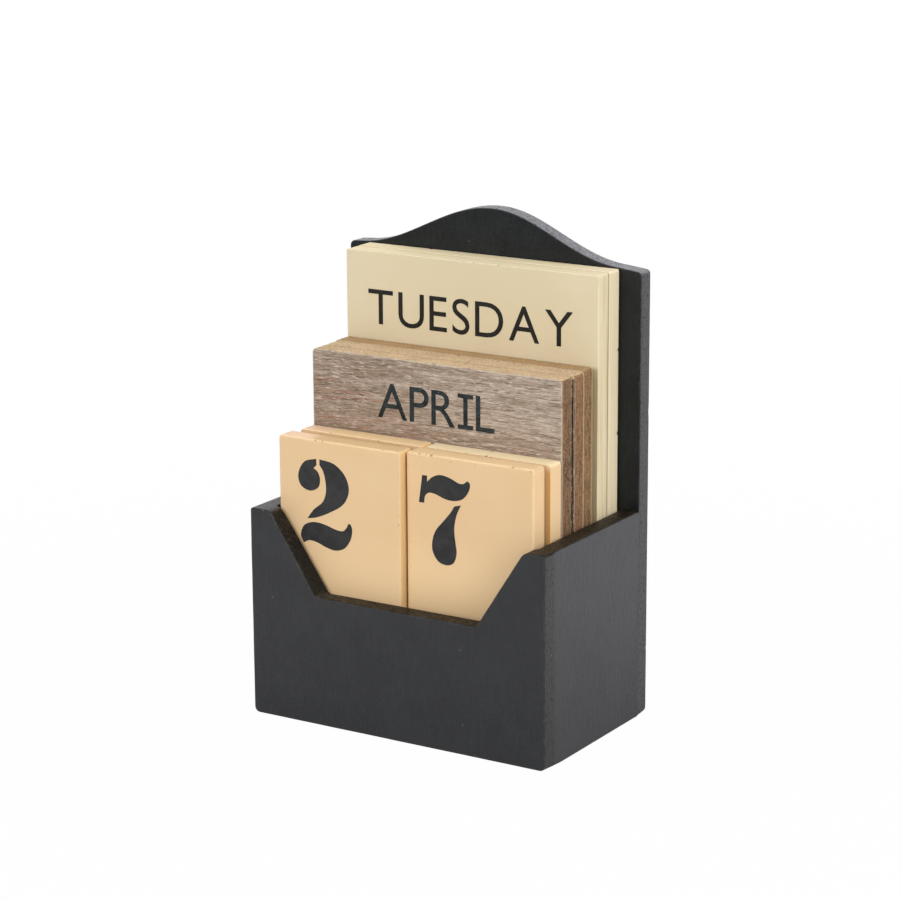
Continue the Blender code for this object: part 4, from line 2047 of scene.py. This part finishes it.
@dataclass(frozen=True)
class LooseBoard:
    """One plate or tile; prints are in the order of Spot, radii those of front and back edges."""

    node: str
    prints: Sequence[str]
    finish: Finish
    edge_radii: Point
    offset: Point
    nicks: tuple[Nick, ...] = ()


@dataclass(kw_only=True)
class LooseBoards:
    """What plates and tiles share: finer boards in the places of their nodes, and their prints."""

    boards: tuple[LooseBoard, ...]
    corner_radius: float
    sway: float
    easing: float
    wear_seed: int
    nick_seed: int
    nick_count: int
    nick_sizes: Point
    nicked_half_width: float
    nicked_height: float
    ink: PrintingInk = PrintingInk()
    ink_pattern: float = 2.0
    pattern_step: float = 5.3
    press: Press = Press()
    spacing: float = 3.0 * MM
    top_band: float = 0.5 * MM

    def build(self) -> None:
        """Build and print every board."""
        for number, loose in enumerate(self.boards):
            drawn = random_nicks(
                self.nick_seed + number,
                self.nick_count,
                self.nicked_half_width,
                self.nicked_height,
                self.nick_sizes,
            )
            nicks = loose.nicks or drawn
            self.board(loose, Wear(self.sway, self.easing, nicks, self.wear_seed + number))
            self.print_on(loose)

    def board(self, loose: LooseBoard, wear: Wear) -> None:
        """Finer board in the place of its node.

        Args:
            loose: The plate or tile.
            wear: Its wear.
        """
        low_corner, high_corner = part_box(loose.node)
        size = high_corner - low_corner
        near_top = size.z - self.top_band
        on_top = [nick.place[0] for nick in wear.nicks if nick.place[1] >= near_top]
        on_side = tuple(nick.place[1] for nick in wear.nicks if nick.place[1] < near_top)
        low, high = rectangle(size.x, size.z, self.corner_radius, self.spacing, on_top)
        board = Board(
            f"{loose.node}_board",
            low,
            high,
            size.y,
            loose.edge_radii,
            wear,
            self.spacing,
            row_close_up=on_side,
        )
        middle_x = (low_corner.x + high_corner.x) / 2
        piece = board.make(Plane.FRONTAL, Vector((middle_x, low_corner.y, low_corner.z)))
        loose.finish.give_to(piece, wear.seed * self.pattern_step)
        stand_for(piece, loose.node)

    def printed(self, text: str) -> Solid:
        """Solid of one word or digit."""
        raise NotImplementedError

    def print_on(self, loose: LooseBoard) -> None:
        """Print the words or digits of one board.

        Args:
            loose: The plate or tile.
        """
        low_corner, high_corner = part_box(loose.node)
        placed = []
        for spot, text in zip(Spot, loose.prints):
            points, faces = self.printed(text)
            placed.append((on_board(points, spot, low_corner, high_corner, loose.offset), faces))
        piece = self.press.to_object(f"{loose.node}_print", placed)
        self.ink.give_to(piece, self.ink_pattern)
        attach(piece, frame["nodes"][loose.node]["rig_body"])
        log.info("%s is printed, %d faces", piece.name, len(piece.data.polygons))


@dataclass(kw_only=True)
class NamePlates(LooseBoards):
    """Plates with four names each."""

    cap_height: float = 10.4 * MM
    tracking: float

    def printed(self, text: str) -> Solid:
        """Solid of one name."""
        return self.press.word(text, self.cap_height, self.tracking)


@dataclass(kw_only=True)
class WeekdayPlates(NamePlates):
    """The two cream plates with the weekdays."""

    boards: tuple[LooseBoard, ...] = (
        LooseBoard(
            "weekday_plate_front",
            ("TUESDAY", "THURSDAY", "MONDAY", "WEDNESDAY"),
            CreamPaint(month_shadow_share=0.6),
            (0.3 * MM, 0.3 * MM),
            (-0.3 * MM, 42.5 * MM),
        ),
        LooseBoard(
            "weekday_plate_rear",
            ("FRIDAY", "SUNDAY", "SATURDAY", "SUNDAY"),
            CreamPaint(lit_side_share=0.35),
            (0.3 * MM, 0.3 * MM),
            (-0.3 * MM, 42.5 * MM),
        ),
    )
    corner_radius: float = 0.7 * MM
    sway: float = 0.03 * MM
    easing: float = 0.35
    wear_seed: int = 6
    nick_seed: int = 20
    nick_count: int = 5
    nick_sizes: Point = (0.4 * MM, 0.8 * MM)
    nicked_half_width: float = 43.0 * MM
    nicked_height: float = 128.5 * MM
    tracking: float = 1.9 * MM


@dataclass(kw_only=True)
class MonthPlates(NamePlates):
    """The three walnut plates with the months."""

    boards: tuple[LooseBoard, ...] = (
        LooseBoard(
            "month_plate_front",
            ("APRIL", "MAY", "JUNE", "JULY"),
            WalnutVeneer(
                skin=paint_code(160, 136, 112),
                side_core=paint_code(142, 112, 84),
                side_core_dark=paint_code(64, 44, 30),
                side_core_red=paint_code(124, 92, 68),
                torn_gap_shade_back=1.0,
            ),
            (0.25 * MM, 0.12 * MM),
            (0.35 * MM, 32.9 * MM),
        ),
        LooseBoard(
            "month_plate_middle",
            ("AUGUST", "OCTOBER", "MARCH", "NOVEMBER"),
            WalnutVeneer(torn_gap_shade_front=1.0, gap_shade_and_light_share=1.0),
            (0.12 * MM, 0.12 * MM),
            (0.35 * MM, 32.9 * MM),
        ),
        LooseBoard(
            "month_plate_rear",
            ("DECEMBER", "JANUARY", "FEBRUARY", "SEPTEMBER"),
            # The rear plate's darker top is painted shade from the weekday plates behind it.
            WalnutVeneer(
                end_core=paint_code(162, 134, 98),
                end_core_dark=paint_code(136, 108, 74),
                side_core=paint_code(150, 123, 87),
                side_core_dark=paint_code(80, 58, 38),
                side_core_red=paint_code(150, 112, 80),
            ),
            (0.12 * MM, 0.12 * MM),
            (0.35 * MM, 32.9 * MM),
        ),
    )
    corner_radius: float = 1.2 * MM
    sway: float = 0.04 * MM
    easing: float = 0.5
    wear_seed: int = 9
    nick_seed: int = 30
    nick_count: int = 9
    nick_sizes: Point = (0.5 * MM, 1.0 * MM)
    nicked_half_width: float = 42.3 * MM
    nicked_height: float = 102.0 * MM
    tracking: float = 0.9 * MM
    ink: PrintingInk = PrintingInk(
        film=paint_code(24, 30, 31), thin_film=paint_code(40, 50, 52), worn_share=0.7
    )


TILE_TOP = 78.9 * MM


@dataclass(kw_only=True)
class DateTiles(LooseBoards):
    """Two columns of two date tiles, each with four digits."""

    boards: tuple[LooseBoard, ...] = (
        LooseBoard(
            "left_date_tile_front",
            "2301",
            PeachPaint(shaded_inner_side=1.0, end_share=1.0, lit_low_share=0.45, top_coat_and_painted_light=paint_code(191, 161, 119)),
            (0.55 * MM, 0.3 * MM),
            (-14.35 * MM, 7.0 * MM),
        ),
        LooseBoard(
            "right_date_tile_front",
            "7869",
            PeachPaint(lit_low_share=1.0),
            (0.55 * MM, 0.12 * MM),
            (-16.9 * MM, 7.0 * MM),
            (
                Nick((-12.9 * MM, TILE_TOP), 0.0, 0.9 * MM, 0.3 * MM),
                Nick((-14.6 * MM, TILE_TOP), 0.0, 0.6 * MM, 0.2 * MM),
                Nick((-16.8 * MM, TILE_TOP), 0.0, 0.7 * MM, 0.2 * MM),
                Nick((14.2 * MM, TILE_TOP), 0.0, 0.7 * MM, 0.2 * MM),
            ),
        ),
        LooseBoard(
            "left_date_tile_rear",
            "4512",
            PeachPaint(
                shaded_inner_side=1.0,
                end_share=1.0,
                lit_low_share=0.45,
                tile_gap_shade_share=0.8,
                top_coat_and_painted_light=paint_code(210, 180, 137),
            ),
            (0.3 * MM, 0.3 * MM),
            (-14.6 * MM, 7.1 * MM),
        ),
        LooseBoard(
            "right_date_tile_rear",
            "0310",
            PeachPaint(tile_gap_shade_share=0.8, top_coat_and_painted_light=paint_code(215, 196, 159)),
            (0.12 * MM, 0.3 * MM),
            (-15.6 * MM, 7.3 * MM),
        ),
    )
    corner_radius: float = 1.0 * MM
    sway: float = 0.03 * MM
    easing: float = 0.35
    wear_seed: int = 12
    nick_seed: int = 40
    nick_count: int = 3
    nick_sizes: Point = (0.4 * MM, 0.7 * MM)
    nicked_half_width: float = 21.1 * MM
    nicked_height: float = TILE_TOP
    ink: PrintingInk = PrintingInk(film=paint_code(42, 42, 43), thin_film=paint_code(52, 52, 53))
    digit_height: float = 26.9 * MM

    def printed(self, text: str) -> Solid:
        """Solid of one digit."""
        return self.press.digit(text, self.digit_height)


# Studio


@dataclass(frozen=True)
class Lamp:
    """Large soft square lamp that points at the calendar; size in metres, power in watts."""

    name: str
    place: tuple[float, float, float]
    size: float
    power: float
    aim: tuple[float, float, float] = (0.0, 0.0, 0.07)

    def light(self) -> None:
        """Put the lamp in the scene."""
        data = bpy.data.lights.new(self.name, "AREA")
        data.shape = "SQUARE"
        data.size = self.size
        data.energy = self.power
        lamp = bpy.data.objects.new(self.name, data)
        aim = Vector(self.aim) - Vector(self.place)
        lamp.rotation_euler = aim.to_track_quat("-Z", "Y").to_euler()
        lamp.location = self.place
        bpy.context.scene.collection.objects.link(lamp)


@dataclass
class Studio:
    """Pale floor, soft light and the camera."""

    camera_place: tuple[float, float, float] = (0.44014, -0.70366, 0.29251)
    azimuth: float = 0.558451
    elevation: float = 0.250116
    roll: float = -0.0054887
    lens_mm: float = 117.5
    sensor_mm: float = 36.0
    clip: Point = (0.01, 20.0)
    floor_half: float = 3.0
    floor_colour: Colour = (0.5, 0.5, 0.5, 1.0)
    floor_white_share: float = 0.98
    floor_fade: Point = (0.1, 0.5)
    mirror_near: Point = (0.03, 0.22)
    mirror_ahead: Point = (-0.5, -0.1)
    mirror_sky: Point = (-0.4, 0.5)
    mirror_dim: float = 0.25
    floor_mirror_near_share: float = 0.5
    sky_strength: float = 0.4
    lamps: tuple[Lamp, ...] = (
        Lamp("right_softbox", (1.5, -0.4, 0.9), 1.2, 22.0),
        Lamp("front_softbox", (-0.4, -1.6, 0.8), 1.3, 14.0),
        Lamp("top_softbox", (0.1, 0.1, 1.7), 1.4, 18.0),
    )

    def build(self) -> None:
        """Set the whole studio up."""
        self.camera()
        self.floor()
        self.sky()
        for lamp in self.lamps:
            lamp.light()
        bpy.context.scene.view_settings.view_transform = "Standard"
        log.info("studio is lit")

    def camera(self) -> None:
        """Camera at the picture's viewing angle."""
        azimuth = self.azimuth
        elevation = self.elevation
        back = Vector(
            (
                math.sin(azimuth) * math.cos(elevation),
                -math.cos(azimuth) * math.cos(elevation),
                math.sin(elevation),
            )
        )
        right = Vector((math.cos(azimuth), math.sin(azimuth), 0))
        up = back.cross(right)
        rolled_right = right * math.cos(self.roll) + up * math.sin(self.roll)
        rolled_up = up * math.cos(self.roll) - right * math.sin(self.roll)
        data = bpy.data.cameras.new("picture_camera")
        data.lens = self.lens_mm
        data.sensor_width = self.sensor_mm
        data.clip_start, data.clip_end = self.clip
        camera = bpy.data.objects.new("picture_camera", data)
        turned = Matrix((rolled_right, rolled_up, back)).transposed().to_4x4()
        camera.matrix_world = Matrix.Translation(self.camera_place) @ turned
        bpy.context.scene.collection.objects.link(camera)
        bpy.context.scene.camera = camera

    @staticmethod
    def on_path(surface: Surface, name: str) -> Value:
        """1 where the ray is of the named kind, else 0."""
        return surface.node("ShaderNodeLightPath", {}, {}, name)

    def seen(self, surface: Surface) -> Value:
        """1 where the ray comes straight from the camera or through a clear piece, else 0."""
        return self.on_path(surface, "Is Camera Ray").at_least(self.on_path(surface, "Is Transmission Ray"))

    def floor(self) -> None:
        """Floor that shows almost white and keeps a soft shadow."""
        half = self.floor_half
        mesh = bpy.data.meshes.new("studio_floor")
        corners = [(-half, -half, 0), (half, -half, 0), (half, half, 0), (-half, half, 0)]
        mesh.from_pydata(corners, [], [(0, 1, 2, 3)])
        floor = bpy.data.objects.new("studio_floor", mesh)
        bpy.context.scene.collection.objects.link(floor)
        material = bpy.data.materials.new("studio_floor_finish")
        material.use_nodes = True
        surface = Surface(material.node_tree)
        matt = surface.node("ShaderNodeBsdfDiffuse", {}, {"Color": self.floor_colour})
        away = surface.node("ShaderNodeVectorMath", {"operation": "LENGTH"}, {0: surface.here()}, "Value")
        white = away.fade_from(self.floor_white_share, *self.floor_fade)
        near = away.fade_from(self.floor_mirror_near_share, *self.mirror_near)
        ahead = surface.along("Y").fade_from(self.mirror_dim, *self.mirror_ahead)
        # Seen in reflections the floor glows with a painted shadow: darker near the calendar and towards the
        # front.
        glossy = self.on_path(surface, "Is Glossy Ray")
        tone = surface.tint(glossy * (1 - near * ahead), WHITE, BLACK)
        glow = surface.node("ShaderNodeEmission", {}, {"Color": tone, "Strength": 1.0})
        surface.show(surface.blend((self.seen(surface) * white).at_least(glossy), matt, glow))
        mesh.materials.append(material)

    def sky(self) -> None:
        """White surroundings that light the object softly from all sides."""
        world = bpy.data.worlds.new("studio_sky")
        world.use_nodes = True
        bpy.context.scene.world = world
        surface = Surface(world.node_tree, "Background")
        lit = self.background(surface, self.sky_strength)
        shown = self.background(surface, 1.0)
        dim = self.background(surface, self.mirror_dim)
        toward = surface.node("ShaderNodeTexCoord", {}, {}, "Generated")
        ahead = surface.node("ShaderNodeSeparateXYZ", {}, {0: toward}, "Y").fade(*self.mirror_sky)
        mirrored = surface.blend(ahead, dim, shown)
        lighting = surface.blend(self.on_path(surface, "Is Glossy Ray"), lit, mirrored)
        surface.show(surface.blend(self.seen(surface), lighting, shown), "World Output")

    @staticmethod
    def background(surface: Surface, strength: float) -> Value:
        """White background of one strength."""
        return surface.node("ShaderNodeBackground", {}, {"Color": WHITE, "Strength": strength})


def main() -> None:
    """Build the calendar and its studio."""
    logging.basicConfig(level=logging.INFO, format="%(name)s: %(message)s")
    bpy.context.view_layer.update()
    PaintedBox().build()
    WeekdayPlates().build()
    MonthPlates().build()
    DateTiles().build()
    Studio().build()


if __name__ == "__main__":
    main()
